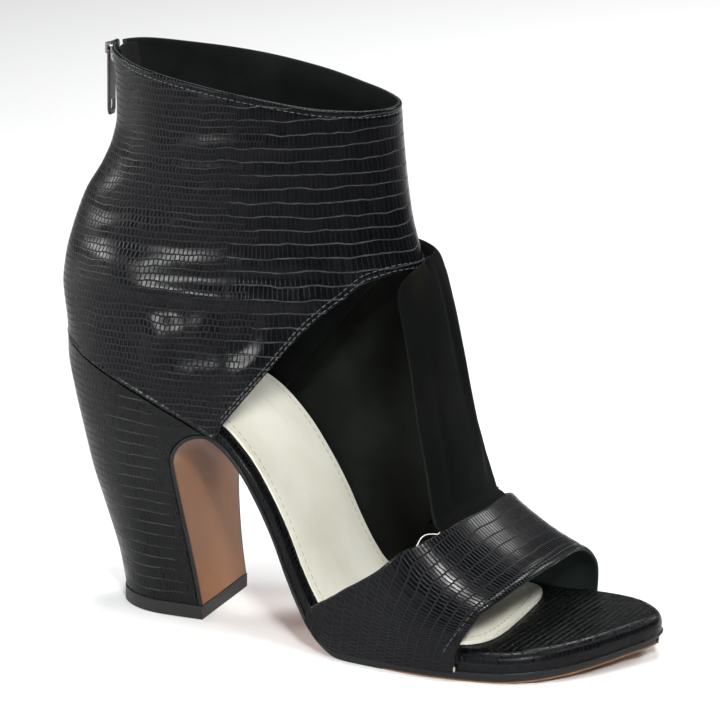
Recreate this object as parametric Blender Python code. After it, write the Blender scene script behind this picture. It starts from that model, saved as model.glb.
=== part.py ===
"""Open-toe ankle bootie on a covered block heel, one right shoe, unworn.

The shoe stands on its heel and its tread with the toe along +X, its outer
(lateral) side along -Y and +Z up. The origin is the middle of the heel tip's
face on the floor. All sizes are in metres.

The sole unit follows one side line, the feather line, where the upper meets
the bottom of the insole board. The upper follows the last: level ovals make
the cuff, arches across the foot make the toe strap, and sections that fan out
between the instep and the inner edge of the sole make the instep panel.
"""
import math

import bmesh
import bpy
import numpy as np
from mathutils import Matrix, Vector

# Driving sizes of the whole shoe
SHOE_LENGTH = 0.2213
HEEL_SET_IN = 0.041
HEEL_HEIGHT = 0.099
BALL_WIDTH = 0.080
TOE_SPRING = 0.0057
CUFF_HEIGHT = 0.205
COLLAR_LENGTH = 0.107
COLLAR_WIDTH = 0.064
INSTEP_HEIGHT = 0.141
STRAP_CROWN = 0.052

# Thicknesses and clearances
GAP = 0.0003
OUTSOLE = 0.0028
SHANK_SOLE = 0.0013
SOLE_INSET = 0.0006
SEAT_BOARD = 0.0045
SHANK_BOARD = 0.0036
PLATFORM = 0.0076
EDGE_ROUND = 0.0042
EDGE_DROP = 0.0028
TOE_EDGE_DROP = 0.0048
SOCK = 0.0012
SOCK_INSET = 0.0004
SOCK_WALL_GAP = 0.0010
CUFF_WALL = 0.0018
STRAP_WALL = 0.0018
PANEL_WALL = 0.0013

# Heel
HEEL_TIP = 0.0050
HEEL_TIP_SPREAD = 0.0004
HEEL_BASE_LENGTH = 0.0385
HEEL_BASE_WIDTH = 0.040
HEEL_BASE_BACK = 0.0202
BREAST_TOP = 0.060
BREAST_LEAN = 0.0076
BREAST_BEND = 1.0
BREAST_BEND_TOP = 0.0065
SHANK_START = 0.0255
WEDGE_REACH = 0.0012

# Insole sock
SOCK_FRONT = 0.1326
SOCK_ROUND = 0.022

# Cuff, strap and panel edges
CUFF_CORNER = 0.0275
CUFF_EDGE_HEIGHT = 0.1345
CUFF_SETTLE = 0.020
BOARD_LIFT = 0.005
PANEL_HOLD = 0.0012
PANEL_LEAN = 0.0020
PANEL_OVERLAP = 0.008
PANEL_CLEAR = 0.0005
PANEL_OFF_CUFF = 0.0020
SEAT_CLEAR = 0.0005
STRAP_SKEW = 0.004
STRAP_SHOULDER = 0.002
STRAP_LEG = 0.0035
STRAP_TUCK = 0.003
PANEL_START = 0.275

# Back zip
ZIP_SLIT = 0.0072
ZIP_END = 0.118
ZIP_TAPE = 0.0008
ZIP_TAPE_OVERLAP = 0.0035
ZIP_TOP_MARGIN = 0.0012
CHAIN_WIDTH = 0.0044
CHAIN_SHORT = 0.9
ZIP_TAIL = 0.5
CHAIN_THICK = 0.0016
SLIDER_WIDTH = 0.0064
SLIDER_HEIGHT = 0.0076
SLIDER_PLATE = 0.0009
BAIL_WIDTH = 0.0020
BAIL_THICK = 0.0010
BAIL_STAND = 0.0031
BRIDGE_WINDOW = 0.0030
BRIDGE_DOWN = 0.0030
SLIDER_PROUD = 0.0004
PULL_LENGTH = 0.0245
PULL_WIDTH = 0.0052
PULL_THICK = 0.0010
PULL_PLAY = 0.0004
PULL_REACH = 0.0042
PULL_SLOT = 0.0022
PULL_SLOT_UP = 0.0020

# Mesh density
OUTLINE_STEPS = 8
STATIONS = 54
BEND_PACE = 0.012
CUFF_COLUMNS = 52
CUFF_ROWS = 13
STRAP_ROWS = 11
STRAP_COLUMNS = 34
PANEL_ROWS = 22
PANEL_EDGE_COLUMNS = 9
PANEL_COLUMNS = 15
HEEL_STEPS = (0.0, 0.18, 0.36, 0.52, 0.64, 0.71, 0.76, 0.80, 0.835, 0.87,
              0.90, 0.925, 0.95, 0.975, 1.0)

# Sole outline, one row for each point around the sole from the back of the
# seat past the outer side: share of the shoe's length, share of the ball width
OUTLINE = (
    ("length", "width"),
    (0.000, 0.000), (0.016, -0.138), (0.059, -0.256), (0.122, -0.341),
    (0.208, -0.385), (0.298, -0.398), (0.389, -0.419), (0.479, -0.456),
    (0.592, -0.500), (0.691, -0.519), (0.795, -0.481), (0.863, -0.400),
    (0.922, -0.244), (0.967, -0.063), (0.994, 0.063), (1.000, 0.150),
    (0.985, 0.256), (0.940, 0.394), (0.872, 0.488), (0.795, 0.513),
    (0.705, 0.481), (0.615, 0.425), (0.524, 0.369), (0.434, 0.338),
    (0.343, 0.331), (0.253, 0.354), (0.163, 0.356), (0.095, 0.306),
    (0.041, 0.206), (0.009, 0.088),
)

# Feather line, the underside of the insole board seen from the side: share of
# the length from the back, share of the heel height and of the toe spring
FEATHER = (
    ("length", "heel", "toe"),
    (-0.009, 1.000, 0), (0.027, 0.974, 0), (0.059, 0.948, 0), (0.104, 0.915, 0),
    (0.140, 0.886, 0), (0.195, 0.839, 0), (0.242, 0.795, 0), (0.271, 0.766, 0),
    (0.294, 0.742, 0), (0.312, 0.718, 0), (0.330, 0.685, 0), (0.357, 0.618, 0),
    (0.389, 0.507, 0), (0.418, 0.383, 0), (0.443, 0.252, 0), (0.464, 0.155, 0),
    (0.484, 0.079, 0), (0.507, 0.028, 0), (0.538, 0.000, 0), (0.796, 0, 0.000),
    (0.864, 0, 0.18), (0.932, 0, 0.51), (0.977, 0, 0.79), (1.010, 0, 1.00),
)

# Board thickness along the sole: share of the length, size
BOARD = (
    ("length", "thickness"),
    (-0.01, SEAT_BOARD), (0.28, SEAT_BOARD * 0.95), (0.345, SHANK_BOARD),
    (0.455, SHANK_BOARD * 1.25), (0.54, PLATFORM * 0.92),
    (0.64, PLATFORM), (1.01, PLATFORM * 1.04),
)

# Level ovals of the cuff: share of the cuff height, then how far the back and
# the front stand from the heel tip's middle as shares of the collar's length,
# and the outer and the inner side as shares of its width
OVALS = (
    ("height", "back", "front", "outer", "inner"),
    (0.293, -0.374, 1.131, 0.5234, 0.4750),
    (0.366, -0.383, 1.084, 0.5234, 0.4780),
    (0.415, -0.395, 1.047, 0.5234, 0.4820),
    (0.463, -0.413, 1.009, 0.5203, 0.4870),
    (0.512, -0.422, 0.972, 0.5125, 0.4900),
    (0.566, -0.424, 0.935, 0.5031, 0.4880),
    (0.620, -0.413, 0.897, 0.4906, 0.4830),
    (0.678, -0.383, 0.853, 0.4766, 0.4750),
    (0.737, -0.339, 0.819, 0.4688, 0.4688),
    (0.795, -0.271, 0.799, 0.4719, 0.4719),
    (0.839, -0.234, 0.788, 0.4781, 0.4781),
    (0.883, -0.217, 0.778, 0.4844, 0.4844),
    (0.937, -0.221, 0.769, 0.4922, 0.4922),
    (1.000, -0.236, 0.764, 0.5000, 0.5000),
)

# Collar rim around the ankle: degrees from the front, share of cuff height
RIM = (
    ("angle", "height"),
    (0, 0.935), (25, 0.936), (50, 0.942), (75, 0.957), (100, 0.972),
    (130, 0.986), (160, 0.999), (180, 1.002),
)

# Lower edge of the cuff from the front to the corner on the sole: degrees
# from the front, share of the cuff edge height
CUFF_EDGE = (
    ("angle", "height"),
    (0, 1.000), (18, 1.003), (36, 0.985), (50, 0.922), (60, 0.855),
    (67, 0.781), (70, 0.743), (80, 0.602), (82.5, 0.561),
)

# Crown of the foot under the toe strap: share of the length from the back,
# share of the strap crown height
CROWN = (
    ("length", "height"),
    (0.365, 5.77), (0.455, 4.62), (0.524, 3.46), (0.591, 2.30),
    (0.637, 1.69), (0.682, 1.27), (0.732, 1.000), (0.763, 0.885),
    (0.795, 0.788), (0.827, 0.712), (0.858, 0.646), (0.885, 0.596),
    (0.916, 0.538),
)

# Toe strap edges across the foot from the outer to the inner feather line:
# share across, rear edge and front edge as shares of the length
STRAP_EDGES = (
    ("across", "rear", "front"),
    (0.000, 0.470, 0.741), (0.004, 0.490, 0.742), (0.017, 0.517, 0.746),
    (0.025, 0.540, 0.749), (0.042, 0.567, 0.753), (0.071, 0.603, 0.762),
    (0.133, 0.644, 0.777), (0.167, 0.660, 0.790), (0.258, 0.693, 0.811),
    (0.354, 0.714, 0.831), (0.467, 0.728, 0.843), (0.567, 0.731, 0.850),
    (0.650, 0.725, 0.853), (0.750, 0.703, 0.854), (0.850, 0.660, 0.853),
    (0.940, 0.602, 0.850), (1.000, 0.560, 0.848),
)

# Instep panel, one row for each section from the toe strap up: the instep
# point and the free outer edge, and the height of its foot on the inner side.
# Along the sole the foot is given by its share of the length, above it by its
# angle around the cuff (the other column is then zero)
PANEL = (
    ("crown_x", "crown_z", "edge_x", "edge_y", "edge_z", "foot", "angle"),
    (0.7400, 0.405, 0.692, -0.350, 0.352, 0.552, 0),
    (0.7200, 0.420, 0.683, -0.350, 0.390, 0.528, 0),
    (0.7050, 0.470, 0.672, -0.343, 0.445, 0.495, 0),
    (0.6920, 0.540, 0.658, -0.330, 0.525, 0.455, 0),
    (0.6760, 0.640, 0.641, -0.307, 0.625, 0.415, 0),
    (0.6610, 0.752, 0.624, -0.270, 0.735, 0.375, 0),
    (0.6440, 0.865, 0.602, -0.225, 0.842, 0.335, 0),
    (0.6280, 0.945, 0.586, -0.190, 0.905, 0.296, 0),
    (0.6220, 0.965, 0.579, -0.175, 0.926, 0.000, 76),
    (0.6160, 0.978, 0.575, -0.165, 0.934, 0.000, 58),
    (0.6120, 0.986, 0.573, -0.160, 0.938, 0.000, 32),
)

# Heel block and tip: share of the way from the floor to the feather line,
# share of the way of the back from its base to the seat, and of the width
HEEL = (
    ("height", "back", "width"),
    (0.00, 0.00, 0.00), (0.15, 0.09, 0.06), (0.34, 0.27, 0.22),
    (0.51, 0.43, 0.45), (0.64, 0.51, 0.64), (0.72, 0.565, 0.76),
    (0.79, 0.63, 0.85), (0.86, 0.72, 0.92), (0.94, 0.87, 0.98),
    (1.00, 1.00, 1.00),
)

# Colour, roughness and metallic value of each material
MATERIALS = {
    "lizard_leather": ((0.018, 0.018, 0.021), 0.28, 0.0),
    "suede": ((0.010, 0.011, 0.010), 0.95, 0.0),
    "sock_leather": ((0.70, 0.67, 0.56), 0.55, 0.0),
    "sole_leather": ((0.30, 0.155, 0.085), 0.50, 0.0),
    "tip_rubber": ((0.020, 0.021, 0.021), 0.60, 0.0),
    "zip_cloth": ((0.012, 0.012, 0.013), 0.85, 0.0),
    "zip_metal": ((0.16, 0.15, 0.145), 0.35, 1.0),
}


def column(table, name):
    """One named column of a table."""
    return np.array([row[table[0].index(name)] for row in table[1:]], float)


def through(xs, ys, at):
    """A smooth curve through points that never overshoots between them."""
    step = np.diff(xs)
    slope = np.diff(ys) / step
    tangent = np.concatenate(([slope[0]], np.zeros(len(xs) - 2), [slope[-1]]))
    same_way = slope[:-1] * slope[1:] > 0
    ahead = 2 * step[1:] + step[:-1]
    behind = step[1:] + 2 * step[:-1]
    before = np.where(same_way, slope[:-1], 1.0)
    after = np.where(same_way, slope[1:], 1.0)
    mean = (ahead + behind) / (ahead / before + behind / after)
    tangent[1:-1] = np.where(same_way, mean, 0.0)
    at = np.asarray(at, float)
    i = np.clip(np.searchsorted(xs, at) - 1, 0, len(xs) - 2)
    u = np.clip((at - xs[i]) / step[i], 0.0, 1.0)
    start = ys[i] * (1 + 2 * u) * (1 - u) ** 2
    start = start + step[i] * tangent[i] * u * (1 - u) ** 2
    end = ys[i + 1] * u * u * (3 - 2 * u)
    return start + end + step[i] * tangent[i + 1] * u * u * (u - 1)


def ease(value, low, high):
    """Rises smoothly from 0 at low to 1 at high."""
    t = np.clip((value - low) / (high - low), 0.0, 1.0)
    return t * t * (3 - 2 * t)


def from_back(share):
    """X of a share of the shoe's length, counted from the back of the seat."""
    return np.asarray(share, float) * SHOE_LENGTH - HEEL_SET_IN


def outline_curve(spread):
    """The closed sole outline, moved outwards by spread."""
    x = from_back(column(OUTLINE, "length"))
    y = column(OUTLINE, "width") * BALL_WIDTH
    points = np.stack([x, y], axis=1)
    before = np.roll(points, 1, axis=0)
    after = np.roll(points, -1, axis=0)
    later = np.roll(points, -2, axis=0)
    curve = []
    for t in np.arange(OUTLINE_STEPS) / OUTLINE_STEPS:
        line = 2 * points + (after - before) * t
        line = line + (2 * before - 5 * points + 4 * after - later) * t ** 2
        line = line + (3 * points - before - 3 * after + later) * t ** 3
        curve.append(line / 2)
    curve = np.stack(curve, axis=1).reshape(-1, 2)
    along = np.roll(curve, -1, axis=0) - np.roll(curve, 1, axis=0)
    along = along / np.linalg.norm(along, axis=1)[:, None]
    outwards = np.stack([along[:, 1], -along[:, 0]], axis=1)
    return curve + outwards * spread


class Outline:
    """Half widths of the sole on its two sides, at any place along it."""

    def __init__(self, spread=0.0):
        curve = outline_curve(spread)
        tip = int(np.argmax(curve[:, 0]))
        back = int(np.argmin(curve[:, 0]))
        curve = np.roll(curve, -back, axis=0)
        tip = (tip - back) % len(curve)
        outer = curve[:tip + 1]
        inner = np.vstack([curve[tip:], curve[:1]])[::-1]
        self.outer_line = outer
        self.inner_line = inner
        self.back = curve[0, 0]
        self.tip = curve[tip, 0]
        self.tip_y = curve[tip, 1]
        self.back_y = curve[0, 1]

    def outer(self, x):
        """Y of the outer side, which is negative."""
        return np.interp(x, self.outer_line[:, 0], self.outer_line[:, 1])

    def inner(self, x):
        """Y of the inner side, which is positive."""
        return np.interp(x, self.inner_line[:, 0], self.inner_line[:, 1])


def feather(x):
    """Height of the insole board's underside."""
    share = (np.asarray(x, float) + HEEL_SET_IN) / SHOE_LENGTH
    tread = OUTSOLE + GAP
    heel = through(column(FEATHER, "length"), column(FEATHER, "heel"), share)
    toe = through(column(FEATHER, "length"), column(FEATHER, "toe"), share)
    return tread + heel * (HEEL_HEIGHT - tread) + toe * TOE_SPRING


def side_line(x):
    """Points of the feather line and its upward normals."""
    step = 0.0002
    slope = (feather(x + step) - feather(x - step)) / (2 * step)
    size = np.hypot(1.0, slope)
    return feather(x), -slope / size, 1.0 / size


def board_top(x):
    """Height of the insole board's top."""
    dense = np.linspace(from_back(-0.008), from_back(1.009), 700)
    z, nx, nz = side_line(dense)
    share = (dense + HEEL_SET_IN) / SHOE_LENGTH
    thick = through(column(BOARD, "length"), column(BOARD, "thickness"), share)
    return np.interp(x, dense + nx * thick, z + nz * thick)


def build_mesh(name, points, faces, material, smooth=35):
    """A closed body from points and faces, turned to face outwards."""
    mesh = bpy.data.meshes.new(name)
    mesh.from_pydata([tuple(p) for p in points], [], faces)
    body = bmesh.new()
    body.from_mesh(mesh)
    bmesh.ops.remove_doubles(body, verts=body.verts, dist=1e-7)
    bmesh.ops.recalc_face_normals(body, faces=body.faces)
    if body.calc_volume(signed=True) < 0:
        bmesh.ops.reverse_faces(body, faces=body.faces)
    body.to_mesh(mesh)
    body.free()
    mesh.shade_smooth()
    mesh.set_sharp_from_angle(angle=math.radians(smooth))
    thing = bpy.data.objects.new(name, mesh)
    bpy.context.collection.objects.link(thing)
    thing.data.materials.append(material)
    return thing


def paint(name):
    """A plain material with the part's own colour and gloss."""
    colour, roughness, metallic = MATERIALS[name]
    material = bpy.data.materials.new(name)
    material.use_nodes = True
    shader = material.node_tree.nodes["Principled BSDF"]
    shader.inputs["Base Color"].default_value = (*colour, 1.0)
    shader.inputs["Roughness"].default_value = roughness
    shader.inputs["Metallic"].default_value = metallic
    return material


def stations(back, front, count):
    """Places along the shoe, closer together at both ends and at bends."""
    x = np.linspace(back, front, 600)
    z = feather(x)
    run = np.gradient(z, x)
    turn = np.abs(np.gradient(np.arctan(run), x))
    pace = np.sqrt(1 + run ** 2) + BEND_PACE * turn
    way = np.concatenate([[0.0], np.cumsum((pace[1:] + pace[:-1]) / 2)])
    even = np.linspace(0.0, 1.0, count)
    eased = 0.1 * even + 0.9 * (1 - np.cos(even * math.pi)) / 2
    return np.interp(eased * way[-1], way, x)


def slab(name, rings, material, smooth=35):
    """A body from stacked rings of paired points.

    Each ring holds the outer side's points from back to front, then the inner
    side's points from back to front. The lowest and the highest ring are
    closed by faces from side to side.
    """
    half = len(rings[0]) // 2
    points = np.vstack(rings)
    size = 2 * half
    loop = list(range(half)) + list(range(size - 1, half - 1, -1))
    faces = []
    for level in range(len(rings) - 1):
        low = level * size
        high = low + size
        for i in range(size):
            a, b = loop[i], loop[(i + 1) % size]
            faces.append((low + a, low + b, high + b, high + a))
    for base in (0, (len(rings) - 1) * size):
        for i in range(half - 1):
            faces.append((base + i, base + i + 1, base + half + i + 1, base + half + i))
    return build_mesh(name, points, faces, material, smooth)


def shell(name, outer, inner, material, active=None, closed=False, smooth=60):
    """A wall between two grids of points of the same size.

    active marks the cells that exist, and closed joins the last column to the
    first. The edges of the wall are closed by a face from grid to grid.
    """
    rows, columns = outer.shape[:2]
    cells = columns if closed else columns - 1
    if active is None:
        active = np.ones((rows - 1, cells), bool)
    count = rows * columns
    faces = []
    edges = {}
    for r in range(rows - 1):
        for c in range(cells):
            if not active[r, c]:
                continue
            d = (c + 1) % columns
            ring = (r * columns + c, r * columns + d, (r + 1) * columns + d, (r + 1) * columns + c)
            faces.append(ring)
            faces.append(tuple(count + v for v in reversed(ring)))
            for a, b in zip(ring, ring[1:] + ring[:1]):
                if (b, a) in edges:
                    del edges[(b, a)]
                else:
                    edges[(a, b)] = True
    for a, b in edges:
        faces.append((b, a, count + a, count + b))
    used = sorted({v for face in faces for v in face})
    number = {v: i for i, v in enumerate(used)}
    points = np.vstack([outer.reshape(-1, 3), inner.reshape(-1, 3)])[used]
    faces = [tuple(number[v] for v in face) for face in faces]
    return build_mesh(name, points, faces, material, smooth)


def grid_normals(grid, closed=False):
    """Unit normals of a grid of points."""
    if closed:
        across = np.roll(grid, -1, axis=1) - np.roll(grid, 1, axis=1)
    else:
        across = np.gradient(grid, axis=1)
    up = np.gradient(grid, axis=0)
    normal = np.cross(across, up)
    return normal / np.linalg.norm(normal, axis=2)[:, :, None]


def board_ring(outline, x, height):
    """One ring of a slab: paired points of an outline at a given height."""
    z = height(x)
    outer = np.stack([x, outline.outer(x), z], axis=1)
    inner = np.stack([x, outline.inner(x), z], axis=1)
    return np.vstack([outer, inner])


def make_board(material):
    """The covered insole board and platform, with a rounded top edge."""
    rings = []
    for inset, drop in ((0.0, None), (0.0, 1.0), (0.13, 0.5), (0.45, 0.12), (1.0, 0.0)):
        outline = Outline(-inset * EDGE_ROUND)
        x = stations(outline.back, outline.tip, STATIONS)
        if drop is None:
            rings.append(board_ring(outline, x, feather))
        else:
            toe = ease((x + HEEL_SET_IN) / SHOE_LENGTH, 0.60, 0.78)
            fall = drop * (EDGE_DROP + (TOE_EDGE_DROP - EDGE_DROP) * toe)
            rings.append(board_ring(outline, x, lambda at: board_top(at) - fall))
    return slab("platform_board", rings, material)


def make_sock(material):
    """The thin leather insole on the board, ending in the toe opening."""
    top = Outline(-EDGE_ROUND)
    outline = Outline(-EDGE_ROUND - SOCK_INSET)
    walled = Outline(-SOCK_WALL_GAP)
    shared = stations(top.back, top.tip, STATIONS)
    shared = shared[(shared > outline.back + 0.001) & (shared < SOCK_FRONT - 0.006)]
    ends = SOCK_FRONT - np.array([0.0035, 0.0017, 0.0006, 0.0])
    x = np.concatenate([[outline.back], shared, ends])
    start = SOCK_FRONT - SOCK_ROUND
    reach = np.clip((x - start) / SOCK_ROUND, 0.0, 1.0)
    taper = (1 - reach ** 4) ** 0.25
    share = (x + HEEL_SET_IN) / SHOE_LENGTH
    shut = ease(share, 0.0, 0.10) * (1 - ease(share, 0.62, 0.74))
    inner_side = outline.inner(x) + (walled.inner(x) - outline.inner(x)) * shut
    middle = (outline.outer(x) + inner_side) / 2
    rings = []
    for lift in (GAP, GAP + SOCK):
        z = board_top(x) + lift
        outer = middle + (outline.outer(x) - middle) * taper
        inner = middle + (inner_side - middle) * taper
        ring = [np.stack([x, y, z], axis=1) for y in (outer, inner)]
        rings.append(np.vstack(ring))
    return slab("insole_sock", rings, material)


def heel_size(height):
    """Back, and half width, of the heel block at shares of its height."""
    share = column(HEEL, "height")
    back_way = through(share, column(HEEL, "back"), height)
    width_way = through(share, column(HEEL, "width"), height)
    outline = Outline(CUFF_WALL + GAP)
    back = -HEEL_BASE_BACK + (outline.back + HEEL_BASE_BACK) * back_way
    return back, width_way


def breast_x(z):
    """X of the breast leather's face at a height, below its bend."""
    base = HEEL_BASE_LENGTH - HEEL_BASE_BACK
    share = np.clip(z / BREAST_TOP, 0.0, 1.0)
    return base - BREAST_LEAN * (1.45 * share - 0.45 * share ** 2)


def sole_path():
    """Side view of the outsole: its lower face and its upper face.

    It climbs the heel's breast, bends over under the seat and runs down the
    shank to the toe. The third value is how many points lie before the shank.
    """
    low = np.linspace(HEEL_TIP + GAP, BREAST_TOP, 8)
    face = np.stack([breast_x(low), low], axis=1)
    x = stations(from_back(0.0), from_back(1.0), STATIONS * 3 // 2)
    x = x[x > SHANK_START]
    z, nx, nz = side_line(x)
    share = (x + HEEL_SET_IN) / SHOE_LENGTH
    thick = SHANK_SOLE + (OUTSOLE - SHANK_SOLE) * ease(share, 0.48, 0.56)
    drop = thick + GAP
    under = np.stack([x - nx * drop, z - nz * drop], axis=1)
    tread = (share > 0.562) & (share < 0.794)
    under[tread, 1] = 0.0
    first = face[-1] + (face[-1] - face[-2]) * BREAST_BEND
    away = under[0] - under[1]
    second = under[0] + away / np.linalg.norm(away) * BREAST_BEND_TOP
    bend = []
    for t in np.linspace(0.0, 1.0, 9)[1:-1]:
        line = (1 - t) ** 3 * face[-1] + 3 * (1 - t) ** 2 * t * first
        line = line + 3 * (1 - t) * t ** 2 * second + t ** 3 * under[0]
        bend.append(line)
    lower = np.vstack([face, bend, under])
    along = np.gradient(lower, axis=0)
    along = along / np.linalg.norm(along, axis=1)[:, None]
    normal = np.stack([-along[:, 1], along[:, 0]], axis=1)
    before = len(face) + len(bend)
    normal[before:] = np.stack([nx, nz], axis=1)
    normal[0] = (-1.0, 0.0)
    wall = np.concatenate([np.full(before, SHANK_SOLE), thick])
    return lower, lower + normal * wall[:, None], normal, before


def make_heel(block_material, tip_material):
    """The covered heel block under the seat, and the rubber tip below it."""
    outline = Outline(CUFF_WALL + GAP)
    lower, upper, normal, before = sole_path()
    seat = upper + normal * GAP * 1.5
    peak = int(np.argmax(seat[:before + 3, 1]))
    dense = np.linspace(0.0, 1.0, 400)
    share = 1 - np.cos(np.linspace(0.0, math.pi / 2, 20))
    bottom = HEEL_TIP + GAP
    face_z = seat[:peak + 1, 1]
    face_x = seat[:peak + 1, 0]
    face_z = np.concatenate([face_z, [face_z[-1] + GAP]])
    face_x = np.concatenate([face_x, [seat[peak, 0] + WEDGE_REACH]])
    rings = []
    for level in HEEL_STEPS:
        back, width_way = heel_size(level)
        z_front = bottom + (feather(dense * SHOE_LENGTH * 0.3) - GAP - bottom) * level
        reach = np.interp(z_front, face_z, face_x) - dense * SHOE_LENGTH * 0.3
        front = float(np.interp(0.0, -reach, dense)) * SHOE_LENGTH * 0.3
        x = back + (front - back) * share
        height = bottom + (feather(x) - GAP - bottom) * level
        round_in = np.sqrt(1 - (1 - np.minimum(share / 0.62, 1.0)) ** 2)
        base_y = HEEL_BASE_WIDTH / 2 * round_in
        outer = -base_y + (outline.outer(x) + base_y) * width_way
        inner = base_y + (outline.inner(x) - base_y) * width_way
        ring = [np.stack([x, y, height], axis=1) for y in (outer, inner)]
        rings.append(np.vstack(ring))
    slab("heel_block", rings, block_material)
    foot = rings[0].copy()
    middle = foot.mean(axis=0)
    rings = []
    for z in (0.0, HEEL_TIP):
        ring = foot.copy()
        away = ring[:, :2] - middle[:2]
        ring[:, :2] += away / np.linalg.norm(away, axis=1)[:, None] * HEEL_TIP_SPREAD
        forward = ring[:, 0] > foot[:, 0].max() - GAP
        ring[forward, 0] += SHANK_SOLE + GAP
        ring[:, 2] = z
        rings.append(ring)
    slab("heel_tip", rings, tip_material, 30)


def make_outsole(material):
    """The leather sole: down the heel's breast, along the shank to the toe."""
    lower, upper, _, before = sole_path()
    outline = Outline(GAP)
    thin = Outline(-SOLE_INSET)
    seat = Outline(CUFF_WALL + GAP)
    at = np.clip(lower[:, 0], thin.back, thin.tip)
    full = ease((lower[:, 0] + HEEL_SET_IN) / SHOE_LENGTH, 0.42, 0.54)
    climb = 1 - ease(np.arange(len(lower)), before - 5, before + 4)
    share = np.clip((lower[:, 1] - HEEL_TIP) / (feather(at) - HEEL_TIP), 0, 1)
    base = HEEL_BASE_WIDTH / 2
    widen = heel_size(share)[1]
    outer_heel = -base + (seat.outer(at) + base) * widen
    inner_heel = base + (seat.inner(at) - base) * widen
    outer = thin.outer(at) + (outline.outer(at) - thin.outer(at)) * full
    inner = thin.inner(at) + (outline.inner(at) - thin.inner(at)) * full
    outer = outer * (1 - climb) + outer_heel * climb
    inner = inner * (1 - climb) + inner_heel * climb
    rings = []
    for line in (lower, upper):
        sides = [np.stack([line[:, 0], y, line[:, 1]], axis=1) for y in (outer, inner)]
        rings.append(np.vstack(sides))
    slab("outsole", rings, material, 40)


def oval(angle, z):
    """Points of the cuff's outer face at angles from the front and heights."""
    share = z / CUFF_HEIGHT
    at = column(OVALS, "height")
    back = through(at, column(OVALS, "back"), share) * COLLAR_LENGTH
    front = through(at, column(OVALS, "front"), share) * COLLAR_LENGTH
    side = np.where(np.sin(angle) > 0, through(at, column(OVALS, "outer"), share),
                    through(at, column(OVALS, "inner"), share))
    half = side * COLLAR_WIDTH
    middle = COLLAR_LENGTH * (0.140 + 0.122 * np.clip((share - 0.366) / 0.634, 0, 1))
    reach = np.where(np.cos(angle) > 0, front - middle, middle - back)
    return np.stack([middle + reach * np.cos(angle), -half * np.sin(angle), z], axis=-1)


def cuff_edge(angle):
    """Height of the cuff's lower edge at an angle from the front."""
    turn = np.minimum(np.abs(np.degrees(angle)), 82.5)
    share = through(column(CUFF_EDGE, "angle"), column(CUFF_EDGE, "height"), turn)
    return share * CUFF_EDGE_HEIGHT


def cuff_grid():
    """Angles around the cuff and its outer face, row by row from the bottom."""
    slit = math.asin(ZIP_SLIT / COLLAR_WIDTH)
    corner = math.radians(82.5)
    quarter = CUFF_COLUMNS // 4
    front = np.linspace(0.0, corner, quarter + 1)[1:]
    rear = np.linspace(corner, math.pi - slit, quarter + 1)[1:]
    near = np.concatenate([front, rear])
    angle = np.concatenate([-near[::-1], [0.0], near, [math.pi]])
    seat = Outline(CUFF_WALL + GAP)
    turn = np.clip((np.abs(angle) - corner) / (math.pi - corner), 0.0, 1.0)
    x_edge = CUFF_CORNER + (seat.back - CUFF_CORNER) * np.sin(turn * math.pi / 2)
    y_edge = np.where(angle > 0, seat.outer(x_edge), seat.inner(x_edge))
    y_edge = np.where(turn < 1.0, y_edge, seat.back_y)
    on_sole = np.abs(angle) >= corner - 1e-9
    low = np.where(on_sole, feather(x_edge) + GAP, cuff_edge(angle))
    degrees = np.abs(np.degrees(angle))
    high = through(column(RIM, "angle"), column(RIM, "height"), degrees) * CUFF_HEIGHT
    near_corner = np.where(on_sole, 1.0, ease(np.abs(angle), corner - 0.30, corner))
    rows = []
    for share in np.linspace(0.0, 1.0, CUFF_ROWS):
        z = low + (high - low) * share
        row = oval(angle, z)
        stay = near_corner * (1 - ease(z - low, 0.0, CUFF_SETTLE))
        side = np.where(angle > 0, seat.outer(row[:, 0]), seat.inner(row[:, 0]))
        base_x = np.where(on_sole, x_edge, row[:, 0])
        base_y = np.where(on_sole, y_edge, side)
        row[:, 0] += (base_x - row[:, 0]) * stay
        row[:, 1] += (base_y - row[:, 1]) * stay
        rows.append(row)
    return angle, np.stack(rows)


def cuff_inside(outer, depth):
    """The cuff's face moved level towards its inside."""
    normal = grid_normals(outer, closed=True)
    normal[:, :, 2] = 0.0
    normal = normal / np.linalg.norm(normal, axis=2)[:, :, None]
    middle = outer.mean(axis=1, keepdims=True)
    inwards = np.sum(normal * (middle - outer), axis=2, keepdims=True) > 0
    inner = outer + np.where(inwards, 1.0, -1.0) * normal * depth
    inner[:, :, 2] = outer[:, :, 2]
    return inner


def make_cuff(material):
    """The hollow ankle cuff and heel quarter, open at the front and collar."""
    angle, outer = cuff_grid()
    inner = cuff_inside(outer, CUFF_WALL)
    active = np.ones((CUFF_ROWS - 1, outer.shape[1]), bool)
    first = slit_row(outer)
    active[first:, -2:] = False
    return shell("cuff", outer, inner, material, active, closed=True)


def slit_row(outer):
    """The row of the cuff's grid where the zip's slit starts."""
    return int(np.argmin(np.abs(outer[:, -1, 2] - ZIP_END)))


def arch(x, across):
    """Points of the toe strap's outer face: across runs from side to side."""
    seat = Outline(STRAP_WALL + SEAT_CLEAR)
    share = (x + HEEL_SET_IN) / SHOE_LENGTH
    crown = through(column(CROWN, "length"), column(CROWN, "height"), share) * STRAP_CROWN
    base = board_top(x) - STRAP_SHOULDER
    turn = across * math.pi
    full = 2 / 2.3
    side = np.cos(turn)
    outer = STRAP_SKEW - seat.outer(x)
    inner = seat.inner(x) - STRAP_SKEW
    half = np.where(side > 0, outer, inner)
    y = STRAP_SKEW - half * np.sign(side) * np.abs(side) ** full
    z = base + (crown - base) * np.abs(np.sin(turn)) ** full
    return np.stack([x, y, z], axis=-1)


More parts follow.
